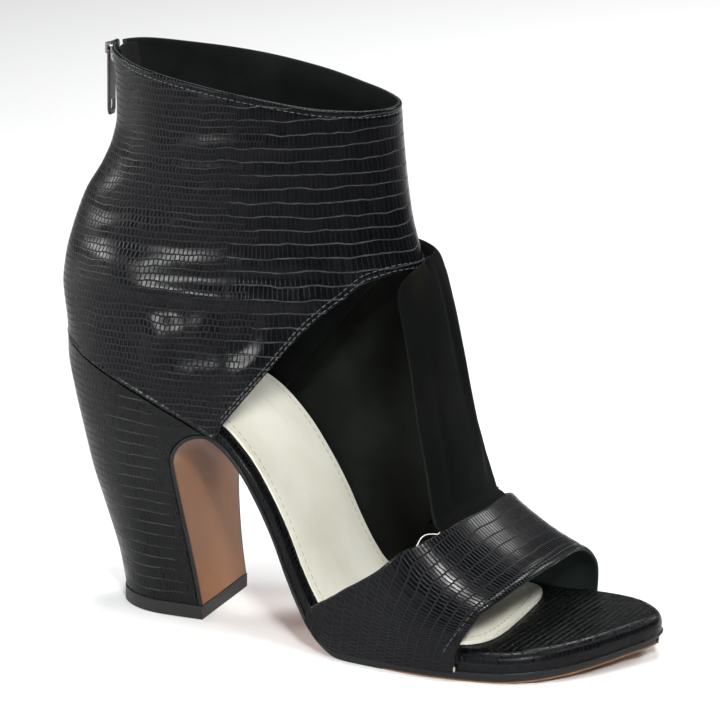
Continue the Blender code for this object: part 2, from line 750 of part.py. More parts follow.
def inward_wall(outer, thickness, centre):
    """The wall's other face: each point moved towards the inside."""
    normal = grid_normals(outer)
    inwards = np.sum(normal * (centre - outer), axis=2, keepdims=True) > 0
    return outer + np.where(inwards, 1.0, -1.0) * normal * thickness


def make_strap(material):
    """The toe strap, an arched wall from feather line to feather line."""
    turn = np.linspace(0.0, math.pi, STRAP_COLUMNS)
    across = (1 - np.cos(turn)) / 4 + turn / math.pi / 2
    at = column(STRAP_EDGES, "across")
    rear = from_back(through(at, column(STRAP_EDGES, "rear"), across))
    front = from_back(through(at, column(STRAP_EDGES, "front"), across))
    rows = []
    seat = Outline(STRAP_WALL + SEAT_CLEAR)
    for share in np.linspace(0.0, 1.0, STRAP_ROWS):
        row = arch(rear + (front - rear) * share, across)
        legs = []
        for end in (0, -1):
            x = row[end, 0] - STRAP_LEG * (1 - share) * (1 if end == 0 else 0)
            y = seat.outer(x) if end == 0 else seat.inner(x)
            legs.append(np.array([[x, y, feather(x) + GAP / 2]], float))
        rows.append(np.vstack([legs[0], row, legs[1]]))
    outer = np.stack(rows)
    centre = np.array([from_back(0.72), STRAP_SKEW, STRAP_CROWN * 0.2])
    inner = inward_wall(outer, STRAP_WALL, centre)
    for end in (0, -1):
        inner[:, end, 0] = outer[:, end, 0]
        inner[:, end, 2] = outer[:, end, 2]
    return shell("toe_strap", outer, inner, material)


def clear_of_cuff(points, need):
    """Moves points level with the cuff's wall out to its outer face."""
    x, y, z = points[..., 0], points[..., 1], points[..., 2]
    front = oval(np.zeros_like(z), z)
    side = oval(np.where(y > 0, -math.pi / 2, math.pi / 2), z)
    middle = side[..., 0]
    reach = front[..., 0] - middle
    half = np.abs(side[..., 1])
    angle = np.arctan2(-y / half, np.maximum((x - middle) / reach, -0.2))
    wall = oval(angle, z)
    away = np.stack([x - middle, y], axis=-1)
    far = np.linalg.norm(away, axis=-1)
    least = np.hypot(wall[..., 0] - middle, wall[..., 1]) + need
    overlap = ease(z - cuff_edge(angle), -0.010, -0.003)
    grow = np.where(far < least, (least / far - 1) * overlap, 0.0)
    moved = points.copy()
    moved[..., 0] += away[..., 0] * grow
    moved[..., 1] += away[..., 1] * grow
    return moved


def under_strap(across, tuck):
    """Points under the toe strap, a tuck's length in from its rear edge."""
    at = column(STRAP_EDGES, "across")
    rear = from_back(through(at, column(STRAP_EDGES, "rear"), across))
    x = rear + tuck
    step = 0.0005
    along = arch(x + step, across) - arch(x - step, across)
    round_it = arch(x, across + 0.002) - arch(x, across - 0.002)
    normal = np.cross(round_it, along)
    normal = normal / np.linalg.norm(normal, axis=1)[:, None]
    centre = np.array([from_back(0.60), STRAP_SKEW, STRAP_CROWN * 0.3])
    point = arch(x, across)
    inwards = np.sum(normal * (centre - point), axis=1, keepdims=True) > 0
    return point + np.where(inwards, 1.0, -1.0) * normal * (STRAP_WALL + PANEL_CLEAR)


def panel_feet(rows, seat):
    """Where each section of the panel ends on the sole or on the cuff."""
    at = np.linspace(0.0, 1.0, len(PANEL) - 1)
    along = column(PANEL, "foot")
    last = int(np.argmin(along > 0))
    foot_at = at[:last]
    turns = np.concatenate([[82.5], column(PANEL, "angle")[last:]])
    places = np.concatenate([[foot_at[-1]], at[last:]])
    feet = []

    def beside(x):
        over = 1 - ease(x, CUFF_CORNER + 0.001, CUFF_CORNER + 0.009)
        return seat.inner(x) + (CUFF_WALL + GAP) * over

    for row in rows:
        if row <= foot_at[-1]:
            x = from_back(through(foot_at, along[:last], row))
            feet.append((x, beside(x), feather(x) + GAP / 2))
        else:
            turn = -np.radians(through(places, turns, row))
            lift = PANEL_OVERLAP * ease(row, foot_at[-1] - 0.06, foot_at[-1] + 0.08)
            feet.append(tuple(oval(turn, cuff_edge(turn) + lift)))
    foot = np.array(feet, float)
    on_sole = rows <= foot_at[-1] + 1e-9
    x = foot[:, 0]
    z, nx, nz = side_line(x)
    step = 0.0005
    climb = (board_top(x + nx * BOARD_LIFT) - z - nz * BOARD_LIFT) * nz
    lift = BOARD_LIFT + climb + PANEL_HOLD
    lean = x + nx * lift + PANEL_LEAN * (1 - ease(rows, 0.0, 0.12))
    side = np.stack([lean, beside(lean), z + nz * lift], axis=1)
    side = np.where(on_sole[:, None], side, foot + np.array([0.0, 0.0, step]))
    return foot, side, on_sole


def make_panel(material):
    """The instep panel, from the sole's inner edge over the instep."""
    rows = np.linspace(0.0, 1.0, PANEL_ROWS)
    at = np.linspace(0.0, 1.0, len(PANEL) - 1)
    crown = np.stack([
        from_back(through(at, column(PANEL, "crown_x"), rows)),
        np.full(PANEL_ROWS, STRAP_SKEW),
        through(at, column(PANEL, "crown_z"), rows) * INSTEP_HEIGHT], axis=1)
    edge = np.stack([
        from_back(through(at, column(PANEL, "edge_x"), rows)),
        through(at, column(PANEL, "edge_y"), rows) * BALL_WIDTH,
        through(at, column(PANEL, "edge_z"), rows) * INSTEP_HEIGHT], axis=1)
    seat = Outline(PANEL_WALL + SEAT_CLEAR)
    foot, side, on_sole = panel_feet(rows, seat)
    full = 2 / 2.5
    places = np.concatenate([np.linspace(-1.0, 0.0, PANEL_EDGE_COLUMNS + 1)[:-1],
                             np.linspace(0.0, 1.0, PANEL_COLUMNS + 1)])
    grid = []
    for t in places:
        if t < 0:
            turn = abs(t) * math.radians(62)
            wide = math.sin(turn) / math.sin(math.radians(62))
            deep = (1 - math.cos(turn)) / (1 - math.cos(math.radians(62)))
            line = crown + (edge - crown) * np.array([deep, wide, deep])
        else:
            turn = t * math.pi / 2
            wide = math.sin(turn) ** full
            deep = 1 - math.cos(turn) ** full
            line = crown + (side - crown) * np.stack([deep, wide, deep])
        grid.append(line)
    outer = np.stack(grid + [foot], axis=1)
    places = np.append(places, 1.0)
    across = np.interp(places, (-1.0, 0.0, 1.0), (PANEL_START, 0.5, 1.0))
    butt = ease(across, 0.925, 0.965)
    tuck = STRAP_TUCK * (1 - butt) - GAP * 4 * butt
    low = under_strap(across, tuck)
    next_up = under_strap(across, -STRAP_TUCK * 0.35 - GAP * 3)
    hold = outer[1].copy()
    fade = 1 - ease(rows, rows[1], 0.30)
    outer += (next_up - hold)[None] * fade[:, None, None]
    outer[0] = low
    outer[1] = next_up
    outer[:, -1] = np.where(on_sole[:, None], foot, outer[:, -1])
    outer[:, -2] = np.where(on_sole[:, None], side, outer[:, -2])
    outer = clear_of_cuff(outer, PANEL_WALL + PANEL_OFF_CUFF)
    centre = np.array([from_back(0.45), 0.0, INSTEP_HEIGHT * 0.55])
    inner = inward_wall(outer, PANEL_WALL, centre)
    inner[on_sole, -1, 0] = outer[on_sole, -1, 0]
    inner[on_sole, -1, 2] = outer[on_sole, -1, 2]
    shell("instep_panel", outer, inner, material)


def back_line(z):
    """X of the cuff's back in the middle, where the zip runs."""
    return oval(np.full_like(z, math.pi), z)[..., 0]


def cuff_back(depth, sides, first):
    """Points inside the cuff's back, side by side in the cuff's own rows."""
    angle, outer = cuff_grid()
    inner = cuff_inside(outer, depth)
    middle = outer.shape[1] - 1
    order = [middle - 3, middle - 2, middle - 1, middle, 0, 1, 2]
    rows = inner[first:, order]
    grid = []
    for row in rows:
        x = np.interp(sides, row[:, 1], row[:, 0])
        z = np.interp(sides, row[:, 1], row[:, 2])
        grid.append(np.stack([x, sides, z], axis=1))
    return np.stack(grid)


def make_zip(cloth, metal):
    """The back zip's tape inside the slit, and the chain along its middle."""
    _, outer = cuff_grid()
    first = slit_row(outer)
    half = ZIP_SLIT / 2
    wide = half + ZIP_TAPE_OVERLAP
    sides = np.array([-wide, -half, -CHAIN_WIDTH / 2, 0.0, CHAIN_WIDTH / 2, half, wide])
    near = cuff_back(CUFF_WALL + SEAT_CLEAR, sides, first - 1)
    far = cuff_back(CUFF_WALL + SEAT_CLEAR + ZIP_TAPE, sides, first - 1)
    for face in (near, far):
        face[-1, :, 2] -= ZIP_TOP_MARGIN
        face[0] = face[1] + (face[0] - face[1]) * ZIP_TAIL
    shell("zip_tape", near, far, cloth)
    chain_sides = np.array([-CHAIN_WIDTH / 2, 0.0, CHAIN_WIDTH / 2])
    back = cuff_back(CUFF_WALL + SEAT_CLEAR - GAP, chain_sides, first)
    front = cuff_back(CUFF_WALL + SEAT_CLEAR - GAP - CHAIN_THICK, chain_sides, first)
    for face in (back, front):
        face[0] += (face[1] - face[0]) * 0.08
        face[-1] += (face[-2] - face[-1]) * CHAIN_SHORT
    shell("zip_chain", front, back, metal)


def zip_face():
    """The slider's top, and X of its plate's outer face."""
    high = CUFF_HEIGHT + SLIDER_PROUD
    back = float(back_line(np.array([CUFF_HEIGHT - SLIDER_HEIGHT]))[0])
    back = min(back, float(back_line(np.array([CUFF_HEIGHT]))[0]))
    return high, back - GAP - SLIDER_PLATE


def make_slider(metal):
    """The zip slider: a plate on the chain, with a bridge for the pull."""
    high, face = zip_face()
    low = high - SLIDER_HEIGHT
    wide = SLIDER_WIDTH / 2
    outline = [(-0.62, low), (0.62, low), (1.0, low + SLIDER_HEIGHT * 0.45), (1.0, high - SLIDER_HEIGHT * 0.18),
               (0.72, high), (-0.72, high), (-1.0, high - SLIDER_HEIGHT * 0.18), (-1.0, low + SLIDER_HEIGHT * 0.45)]
    plate = [(face, y * wide, z) for y, z in outline] + [(face + SLIDER_PLATE, y * wide, z) for y, z in outline]
    count = len(outline)
    faces = [tuple(range(count)), tuple(range(2 * count - 1, count - 1, -1))]
    faces += [(i, (i + 1) % count, (i + 1) % count + count, i + count) for i in range(count)]
    body = build_mesh("zip_slider", plate, faces, metal)
    middle = high - BRIDGE_DOWN
    half = BRIDGE_WINDOW / 2
    lip = BAIL_THICK
    sink = SLIDER_PLATE * 0.4
    side = [(face + sink, middle - half - lip), (face - BAIL_STAND, middle - half - lip * 0.4),
            (face - BAIL_STAND, middle + half + lip * 0.4), (face + sink, middle + half + lip),
            (face + sink, middle + half), (face - BAIL_STAND + BAIL_THICK, middle + half - lip * 0.3),
            (face - BAIL_STAND + BAIL_THICK, middle - half + lip * 0.3), (face + sink, middle - half)]
    points = [(x, -BAIL_WIDTH / 2, z) for x, z in side] + [(x, BAIL_WIDTH / 2, z) for x, z in side]
    faces = [(0, 1, 6, 7), (1, 2, 5, 6), (2, 3, 4, 5), (8, 15, 14, 9), (9, 14, 13, 10), (10, 13, 12, 11)]
    faces += [(i, (i + 1) % 8, (i + 1) % 8 + 8, i + 8) for i in range(8)]
    bridge = build_mesh("bridge", points, faces, metal)
    join = body.modifiers.new("bridge", "BOOLEAN")
    join.operation = "UNION"
    join.solver = "EXACT"
    join.object = bridge
    bridge.hide_render = True
    bridge.display_type = "WIRE"


def make_pull(metal):
    """The zip pull: a flat tab with a slot at each end, hung on the bridge."""
    high, face = zip_face()
    axis_z = high - BRIDGE_DOWN
    axis_x = face - (BAIL_STAND - BAIL_THICK) / 2
    bar = PULL_THICK / 2
    thick = PULL_THICK / 2
    wide = PULL_WIDTH / 2
    hole = BAIL_WIDTH / 2 + PULL_PLAY
    top = axis_z + bar
    hole_low = axis_z - PULL_REACH
    bottom = top - PULL_LENGTH
    slot = PULL_SLOT / 2
    slot_high = bottom + PULL_SLOT_UP + PULL_SLOT * 1.6
    slot_low = bottom + PULL_SLOT_UP
    y = (-wide, -hole, -slot, slot, hole, wide)
    z = (top, axis_z - bar, hole_low, slot_high, slot_low, bottom)
    holes = {(1, 1), (1, 2), (1, 3), (3, 2)}
    points = []
    for x in (axis_x - thick, axis_x + thick):
        for i, height in enumerate(z):
            for j, across in enumerate(y):
                corner = i in (0, 5) and j in (0, 5)
                inwards = 0.0009 * (1 if j == 0 else -1) if corner else 0.0
                points.append((x, across + inwards, height))
    size = len(y)
    count = size * len(z)
    faces = []
    edges = {}
    for i in range(len(z) - 1):
        for j in range(size - 1):
            if (i, j) in holes:
                continue
            ring = (i * size + j, i * size + j + 1, (i + 1) * size + j + 1, (i + 1) * size + j)
            faces.append(ring)
            faces.append(tuple(count + v for v in reversed(ring)))
            for a, b in zip(ring, ring[1:] + ring[:1]):
                if (b, a) in edges:
                    del edges[(b, a)]
                else:
                    edges[(a, b)] = True
    faces += [(b, a, count + a, count + b) for a, b in edges]
    pull = build_mesh("zip_pull", points, faces, metal, 30)
    axis = Vector((axis_x, 0.0, axis_z))
    pull.data.transform(Matrix.Translation(-axis))
    pull.location = axis


def make_all():
    """Builds every piece of the shoe."""
    finish = {name: paint(name) for name in MATERIALS}
    make_board(finish["lizard_leather"])
    make_sock(finish["sock_leather"])
    make_heel(finish["lizard_leather"], finish["tip_rubber"])
    make_outsole(finish["sole_leather"])
    make_cuff(finish["lizard_leather"])
    make_strap(finish["lizard_leather"])
    make_panel(finish["suede"])
    make_zip(finish["zip_cloth"], finish["zip_metal"])
    make_slider(finish["zip_metal"])
    make_pull(finish["zip_metal"])


for thing in list(bpy.data.objects):
    bpy.data.objects.remove(thing, do_unlink=True)
make_all()
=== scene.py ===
"""Dressed model of the open-toe ankle bootie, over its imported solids.

The shoe stands on its heel and tread, toe along +X, outer side along -Y. All
sizes are in metres, and the scale maps on the leather are in millimetres.
"""

import math

import bmesh
import bpy
import numpy as np
from mathutils import Matrix, Vector


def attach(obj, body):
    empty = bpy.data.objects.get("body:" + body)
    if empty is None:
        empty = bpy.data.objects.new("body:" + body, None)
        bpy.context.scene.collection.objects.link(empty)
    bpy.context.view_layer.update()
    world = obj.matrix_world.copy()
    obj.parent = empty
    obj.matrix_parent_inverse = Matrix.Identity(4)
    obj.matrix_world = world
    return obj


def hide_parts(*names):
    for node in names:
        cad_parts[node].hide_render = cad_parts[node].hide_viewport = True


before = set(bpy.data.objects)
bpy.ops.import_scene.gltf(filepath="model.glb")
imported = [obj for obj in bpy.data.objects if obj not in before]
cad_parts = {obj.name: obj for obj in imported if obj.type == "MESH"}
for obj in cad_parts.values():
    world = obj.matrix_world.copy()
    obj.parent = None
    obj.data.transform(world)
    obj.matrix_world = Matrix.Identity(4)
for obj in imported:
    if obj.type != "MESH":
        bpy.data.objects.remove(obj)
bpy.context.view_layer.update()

# Driving sizes, the same as in the solids
SHOE_LENGTH = 0.2213
HEEL_SET_IN = 0.041
HEEL_HEIGHT = 0.099
BALL_WIDTH = 0.080
TOE_SPRING = 0.0057
CUFF_HEIGHT = 0.205
COLLAR_LENGTH = 0.107
COLLAR_WIDTH = 0.064
INSTEP_HEIGHT = 0.141
STRAP_CROWN = 0.052
GAP = 0.0003
OUTSOLE = 0.0028
SHANK_SOLE = 0.0013
SOLE_INSET = 0.0006
EDGE_ROUND = 0.0042
EDGE_DROP = 0.0028
TOE_EDGE_DROP = 0.0048
SOCK = 0.0012
SOCK_INSET = 0.0004
SOCK_WALL_GAP = 0.0010
SOCK_FRONT = 0.1326
SOCK_ROUND = 0.022
CUFF_WALL = 0.0018
STRAP_WALL = 0.0018
PANEL_WALL = 0.0013
HEEL_TIP = 0.0050
HEEL_BASE_LENGTH = 0.0385
HEEL_BASE_WIDTH = 0.040
HEEL_BASE_BACK = 0.0202
BREAST_TOP = 0.060
BREAST_LEAN = 0.0076
SHANK_START = 0.0255
CUFF_CORNER = 0.0275
CUFF_EDGE_HEIGHT = 0.1345
CUFF_SETTLE = 0.020
STRAP_SKEW = 0.004
ZIP_SLIT = 0.0072
ZIP_END = 0.118
CORNER_TURN = 82.5

# Sizes that only the dressed pieces have: room left inside the strap's and the
# panel's walls, the panel's tuck under the strap, how far inside the cuff's wall
# the zip's teeth lie, and metres round the cuff for each degree
WALL_ROOM = 0.0005
TUCK = 0.003
TEETH_IN = 0.0009
DEGREE_RUN = 0.00056

# Rounding of edges, the dip along a seam, and how far from its edge a seam runs
EDGE_ROLL = 0.0006
REAR_ROLL = 0.0005
SEAM_ROLL = 0.0003
HEM_LINES = (0.0013, 0.0026)
HEM_SEAM = 0.0019
HEM_DIP = 0.00018
SEAM_HALF = 0.0008
RIM_LINE = 0.0022
STRAP_LINE = 0.0024
SOCK_LINE = 0.0033

# Folds along the strap's front edge (distance from it, depth) and their half
# width, and the ridge along the platform's edge (way up, half width, rise)
STRAP_FOLDS = ((0.0027, -0.00022), (0.0014, 0.00015))
FOLD_HALF = 0.0012
EDGE_RIDGE = (0.0016, 0.0007, 0.00022)

# Zip teeth: half sizes, step up the chain, distance to the side, top of the chain
TOOTH_HALVES = (0.00060, 0.00115, 0.00036)
TOOTH_PITCH = 0.00105
TOOTH_SIDE = 0.00085
CHAIN_TOP = 0.1985

# Power of the strap's flattened half oval, degrees that the panel turns from
# its crown to its free edge, and share of the heel's length that is rounded
ARCH_POWER = 2 / 2.3
PANEL_ARC = 62
HEEL_ROUND = 0.62

# Rings in the straight side and low shoulder of the board, and metres to
# millimetres for the scale maps
SIDE_RINGS = 8
TO_MM = 1000.0

# Stitches: pitch, length, width, rise
CUFF_STITCH = (0.0024, 0.0018, 0.00035, 0.00012)
STRAP_STITCH = (0.0023, 0.0017, 0.0003, 0.00010)
SOCK_STITCH = (0.0030, 0.0021, 0.0004, 0.00010)

# The camera: the point it looks at, its distance, its lens in millimetres, and
# degrees around, up and rolled
VIEW_AIM = (0.06905, -0.0003, 0.09964)
VIEW_DISTANCE = 1.4
VIEW_LENS = 197.85
VIEW_TURN, VIEW_RISE, VIEW_ROLL = 21.8, 16.0, 0.8
PICTURE_WIDTH = 720

# The floor: half its side, and how far it lies under the shoe. The surround:
# its colour and strength.
FLOOR_HALF = 4.0
FLOOR_DROP = 0.0001
SURROUND = (0.95, 0.97, 1.0, 1.0)
SURROUND_STRENGTH = 0.10

# Soft lights: name, place, aim, size, power, width of the beam in degrees
MIDDLE = (0.07, 0.0, 0.10)
LIGHTS = (
    ("left_box", (-1.15, -0.20, 0.36), (0.0, 0.0, 0.14), (0.40, 0.32), 9.0, 180.0),
    ("strip_box", (-0.55, -1.05, 0.34), (0.0, 0.0, 0.16), (0.42, 0.22), 1.15, 60.0),
    ("back_box", (0.90, 1.00, 0.95), MIDDLE, (0.6, 0.5), 12.0, 180.0),
    ("top_box", (0.05, 1.10, 1.90), (0.05, 0.95, 0.0), (0.5, 0.5), 9.2, 108.0),
    ("over_box", (0.12, -0.10, 1.70), (0.08, 0.0, 0.0), (0.45, 0.45), 0.34, 24.0),
    ("front_box", (0.80, -1.15, 1.05), MIDDLE, (0.30, 0.30), 0.62, 26.0))

# Sole outline around the sole: share of the length, share of the ball width
OUTLINE = np.array([
    (0.000, 0.000), (0.016, -0.138), (0.059, -0.256), (0.122, -0.341),
    (0.208, -0.385), (0.298, -0.398), (0.389, -0.419), (0.479, -0.456),
    (0.592, -0.500), (0.691, -0.519), (0.795, -0.481), (0.863, -0.400),
    (0.922, -0.244), (0.967, -0.063), (0.994, 0.063), (1.000, 0.150),
    (0.985, 0.256), (0.940, 0.394), (0.872, 0.488), (0.795, 0.513),
    (0.705, 0.481), (0.615, 0.425), (0.524, 0.369), (0.434, 0.338),
    (0.343, 0.331), (0.253, 0.354), (0.163, 0.356), (0.095, 0.306),
    (0.041, 0.206), (0.009, 0.088)])

# Underside of the board: share of the length, of the heel height, of the spring
FEATHER = np.array([
    (-0.009, 1.000, 0), (0.027, 0.974, 0), (0.059, 0.948, 0), (0.104, 0.915, 0),
    (0.140, 0.886, 0), (0.195, 0.839, 0), (0.242, 0.795, 0), (0.271, 0.766, 0),
    (0.294, 0.742, 0), (0.312, 0.718, 0), (0.330, 0.685, 0), (0.357, 0.618, 0),
    (0.389, 0.507, 0), (0.418, 0.383, 0), (0.443, 0.252, 0), (0.464, 0.155, 0),
    (0.484, 0.079, 0), (0.507, 0.028, 0), (0.538, 0.000, 0), (0.796, 0, 0.000),
    (0.864, 0, 0.18), (0.932, 0, 0.51), (0.977, 0, 0.79), (1.010, 0, 1.00)])

# Board thickness: share of the length, metres
BOARD = np.array([
    (-0.01, 0.0045), (0.28, 0.004275), (0.345, 0.0036), (0.455, 0.0045),
    (0.54, 0.006992), (0.64, 0.0076), (1.01, 0.007904)])

# Level ovals of the cuff: share of the height, back, front, outer, inner
OVALS = np.array([
    (0.293, -0.374, 1.131, 0.5234, 0.4750), (0.366, -0.383, 1.084, 0.5234, 0.4780),
    (0.415, -0.395, 1.047, 0.5234, 0.4820), (0.463, -0.413, 1.009, 0.5203, 0.4870),
    (0.512, -0.422, 0.972, 0.5125, 0.4900), (0.566, -0.424, 0.935, 0.5031, 0.4880),
    (0.620, -0.413, 0.897, 0.4906, 0.4830), (0.678, -0.383, 0.853, 0.4766, 0.4750),
    (0.737, -0.339, 0.819, 0.4688, 0.4688), (0.795, -0.271, 0.799, 0.4719, 0.4719),
    (0.839, -0.234, 0.788, 0.4781, 0.4781), (0.883, -0.217, 0.778, 0.4844, 0.4844),
    (0.937, -0.221, 0.769, 0.4922, 0.4922), (1.000, -0.236, 0.764, 0.5000, 0.5000)])

# Collar rim and the cuff's lower edge: degrees from the front, share of height
RIM = np.array([(0, 0.935), (25, 0.936), (50, 0.942), (75, 0.957), (100, 0.972),
                (130, 0.986), (160, 0.999), (180, 1.002)])
CUFF_EDGE = np.array([(0, 1.000), (18, 1.003), (36, 0.985), (50, 0.922), (60, 0.855),
                      (67, 0.781), (70, 0.743), (80, 0.602), (82.5, 0.561)])

# Crown under the strap: share of the length, share of the strap's crown height
CROWN = np.array([
    (0.365, 5.77), (0.455, 4.62), (0.524, 3.46), (0.591, 2.30), (0.637, 1.69),
    (0.682, 1.27), (0.732, 1.000), (0.763, 0.885), (0.795, 0.788), (0.827, 0.712),
    (0.858, 0.646), (0.885, 0.596), (0.916, 0.538)])

# Strap edges: share across the foot, rear edge and front edge along the length
STRAP_EDGES = np.array([
    (0.000, 0.4852, 0.740), (0.004, 0.493, 0.742), (0.010, 0.5051, 0.744),
    (0.017, 0.5204, 0.746), (0.025, 0.5382, 0.748), (0.042, 0.5706, 0.752),
    (0.071, 0.6044, 0.761), (0.100, 0.6247, 0.769), (0.133, 0.6425, 0.777),
    (0.167, 0.6596, 0.789), (0.210, 0.6767, 0.802), (0.258, 0.6927, 0.814),
    (0.300, 0.7038, 0.823), (0.354, 0.7144, 0.832), (0.410, 0.7237, 0.839),
    (0.467, 0.7297, 0.845), (0.567, 0.731, 0.849), (0.650, 0.725, 0.849),
    (0.750, 0.703, 0.850), (0.850, 0.660, 0.852), (0.940, 0.602, 0.850),
    (1.000, 0.560, 0.848)])

# Instep panel sections: crown x, crown z, edge x, y, z, foot along the sole,
# and above the sole the foot's angle on the cuff
PANEL = np.array([
    (0.7400, 0.405, 0.692, -0.350, 0.352, 0.552, 0),
    (0.7200, 0.420, 0.683, -0.350, 0.390, 0.528, 0),
    (0.7050, 0.470, 0.672, -0.343, 0.445, 0.495, 0),
    (0.6920, 0.540, 0.658, -0.330, 0.525, 0.455, 0),
    (0.6760, 0.640, 0.641, -0.307, 0.625, 0.415, 0),
    (0.6610, 0.752, 0.624, -0.270, 0.735, 0.375, 0),
    (0.6440, 0.865, 0.602, -0.225, 0.842, 0.335, 0),
    (0.6280, 0.945, 0.586, -0.190, 0.905, 0.296, 0),
    (0.6220, 0.965, 0.579, -0.175, 0.926, 0.000, 76),
    (0.6160, 0.978, 0.575, -0.165, 0.934, 0.000, 58),
    (0.6120, 0.986, 0.573, -0.160, 0.938, 0.000, 32)])

# Heel block: share of its height, of the way back, of the way out
HEEL = np.array([
    (0.00, 0.00, 0.00), (0.15, 0.09, 0.06), (0.34, 0.27, 0.22), (0.51, 0.43, 0.45),
    (0.64, 0.51, 0.64), (0.72, 0.565, 0.76), (0.79, 0.63, 0.85), (0.86, 0.72, 0.92),
    (0.94, 0.87, 0.98), (1.00, 1.00, 1.00)])

# Soft troughs (negative) and ridges (positive) of the cuff: degrees from the
# front on the outer side, height, half length, half width, lean, depth
CUFF_FORMS = np.array([
    (118.0, 0.1290, 0.0070, 0.0085, 40.0, 0.0015),
    (88.0, 0.1245, 0.0190, 0.0030, 3.0, 0.0014),
    (97.0, 0.1175, 0.0050, 0.0042, 80.0, -0.0016),
    (101.5, 0.1050, 0.0110, 0.0032, 90.0, 0.0013),
    (89.0, 0.1130, 0.0090, 0.0030, 100.0, 0.0008),
    (82.0, 0.0975, 0.0100, 0.0042, 38.0, 0.0013),
    (108.0, 0.1400, 0.0180, 0.0040, 8.0, -0.0010),
    (126.0, 0.1500, 0.0160, 0.0060, 20.0, -0.0009),
    (88.0, 0.1780, 0.0130, 0.0030, 12.0, 0.0007),
    (90.0, 0.1690, 0.0120, 0.0028, 8.0, 0.0007),
    (89.0, 0.1610, 0.0110, 0.0028, 5.0, 0.0006),
    (72.0, 0.1320, 0.0120, 0.0030, 6.0, -0.0009),
    (105.0, 0.1850, 0.0100, 0.0060, 85.0, -0.0006)])

# Folds of the instep panel: share up the panel, share across it, half length
# up, half width across, depth
PANEL_FOLDS = np.array([
    (0.90, -0.30, 0.12, 0.045, -0.0010), (0.90, -0.44, 0.14, 0.050, 0.0006),
    (0.60, -0.10, 0.16, 0.050, -0.0009), (0.42, 0.02, 0.16, 0.055, 0.0008),
    (0.30, 0.14, 0.14, 0.050, -0.0011), (0.16, 0.28, 0.12, 0.055, 0.0009),
    (0.30, -0.62, 0.20, 0.060, -0.0007), (0.52, 0.42, 0.22, 0.080, -0.0012),
    (0.36, 0.60, 0.20, 0.070, 0.0010)])

# Colours of the embossed leather: its tiles, the gaps (lighter than the tiles, as painted light
# caught in the grooves) and the painted highlights of light dashed glints along the grooves
BLACK = (0.0018, 0.0020, 0.0026)
# Gap colour, lighter than the tiles: painted light caught in the grooves
GAP_GREY = (0.0042, 0.0045, 0.0050)
# Painted highlight colour of the dashed glints along the grooves
GROOVE_GLINT = (0.058, 0.060, 0.063)

# Depths of the leather's relief: its soft waves and its tiles
WAVE_DEPTH = 0.00016
TILE_DEPTH = 0.00005


def through(table, at, column=1):
    """A smooth curve through a table's points that never overshoots: cubic
    pieces whose slopes are the weighted harmonic means of the steps."""
    xs, ys = table[:, 0], table[:, column]
    step = np.diff(xs)
    slope = np.diff(ys) / step
    same_way = slope[:-1] * slope[1:] > 0
    ahead = 2 * step[1:] + step[:-1]
    behind = step[1:] + 2 * step[:-1]
    before = np.where(same_way, slope[:-1], 1.0)
    after = np.where(same_way, slope[1:], 1.0)
    mean = (ahead + behind) / (ahead / before + behind / after)
    tangent = np.concatenate([slope[:1], np.where(same_way, mean, 0.0), slope[-1:]])
    at = np.asarray(at, float)
    i = np.clip(np.searchsorted(xs, at) - 1, 0, len(xs) - 2)
    u = np.clip((at - xs[i]) / step[i], 0.0, 1.0)
    start = ys[i] * (1 + 2 * u) * (1 - u) ** 2 + step[i] * tangent[i] * u * (1 - u) ** 2
    end = ys[i + 1] * u * u * (3 - 2 * u) + step[i] * tangent[i + 1] * u * u * (u - 1)
    return start + end


def ease(value, low, high):
    """Rises smoothly from 0 at low to 1 at high."""
    t = np.clip((value - low) / (high - low), 0.0, 1.0)
    return t * t * (3 - 2 * t)


def bump_at(value, centre, half):
    """A soft hump: 1 at the centre, the square of a cosine, 0 past the half width."""
    t = np.clip(np.abs(value - centre) / half, 0.0, 1.0)
    return np.cos(t * math.pi / 2) ** 2


def roll(away, radius):
    """How far a rounded edge draws in, at a distance from that edge."""
    rest = radius - np.clip(away, 0.0, radius)
    return radius - np.sqrt(np.maximum(radius ** 2 - rest ** 2, 0.0))


def from_back(share):
    """X of a share of the shoe's length, counted from the back of the seat."""
    return np.asarray(share, float) * SHOE_LENGTH - HEEL_SET_IN


def share_of(x):
    """Share of the shoe's length at an x."""
    return (np.asarray(x, float) + HEEL_SET_IN) / SHOE_LENGTH


class Outline:
    """The sole's outline, moved outwards by spread: a closed curve through the
    points of OUTLINE, kept as Y of its two sides along X."""

    def __init__(self, spread):
        points = np.stack([from_back(OUTLINE[:, 0]), OUTLINE[:, 1] * BALL_WIDTH], axis=1)
        before, after = np.roll(points, 1, axis=0), np.roll(points, -1, axis=0)
        later = np.roll(points, -2, axis=0)
        t = (np.arange(8) / 8)[None, :, None]
        p, b, a, l = points[:, None], before[:, None], after[:, None], later[:, None]
        curve = 2 * p + (a - b) * t + (2 * b - 5 * p + 4 * a - l) * t ** 2
        curve = (curve + (3 * p - b - 3 * a + l) * t ** 3) / 2
        curve = curve.reshape(-1, 2)
        along = unit(np.roll(curve, -1, axis=0) - np.roll(curve, 1, axis=0))
        curve = curve + np.stack([along[:, 1], -along[:, 0]], axis=1) * spread
        tip, back = int(np.argmax(curve[:, 0])), int(np.argmin(curve[:, 0]))
        curve = np.roll(curve, -back, axis=0)
        tip = (tip - back) % len(curve)
        self.outer_line = curve[:tip + 1]
        self.inner_line = np.vstack([curve[tip:], curve[:1]])[::-1]
        self.back, self.back_y = curve[0]
        self.tip = curve[tip, 0]

    def outer(self, x):
        """Y of the outer side, which is negative."""
        return np.interp(x, self.outer_line[:, 0], self.outer_line[:, 1])

    def inner(self, x):
        """Y of the inner side, which is positive."""
        return np.interp(x, self.inner_line[:, 0], self.inner_line[:, 1])


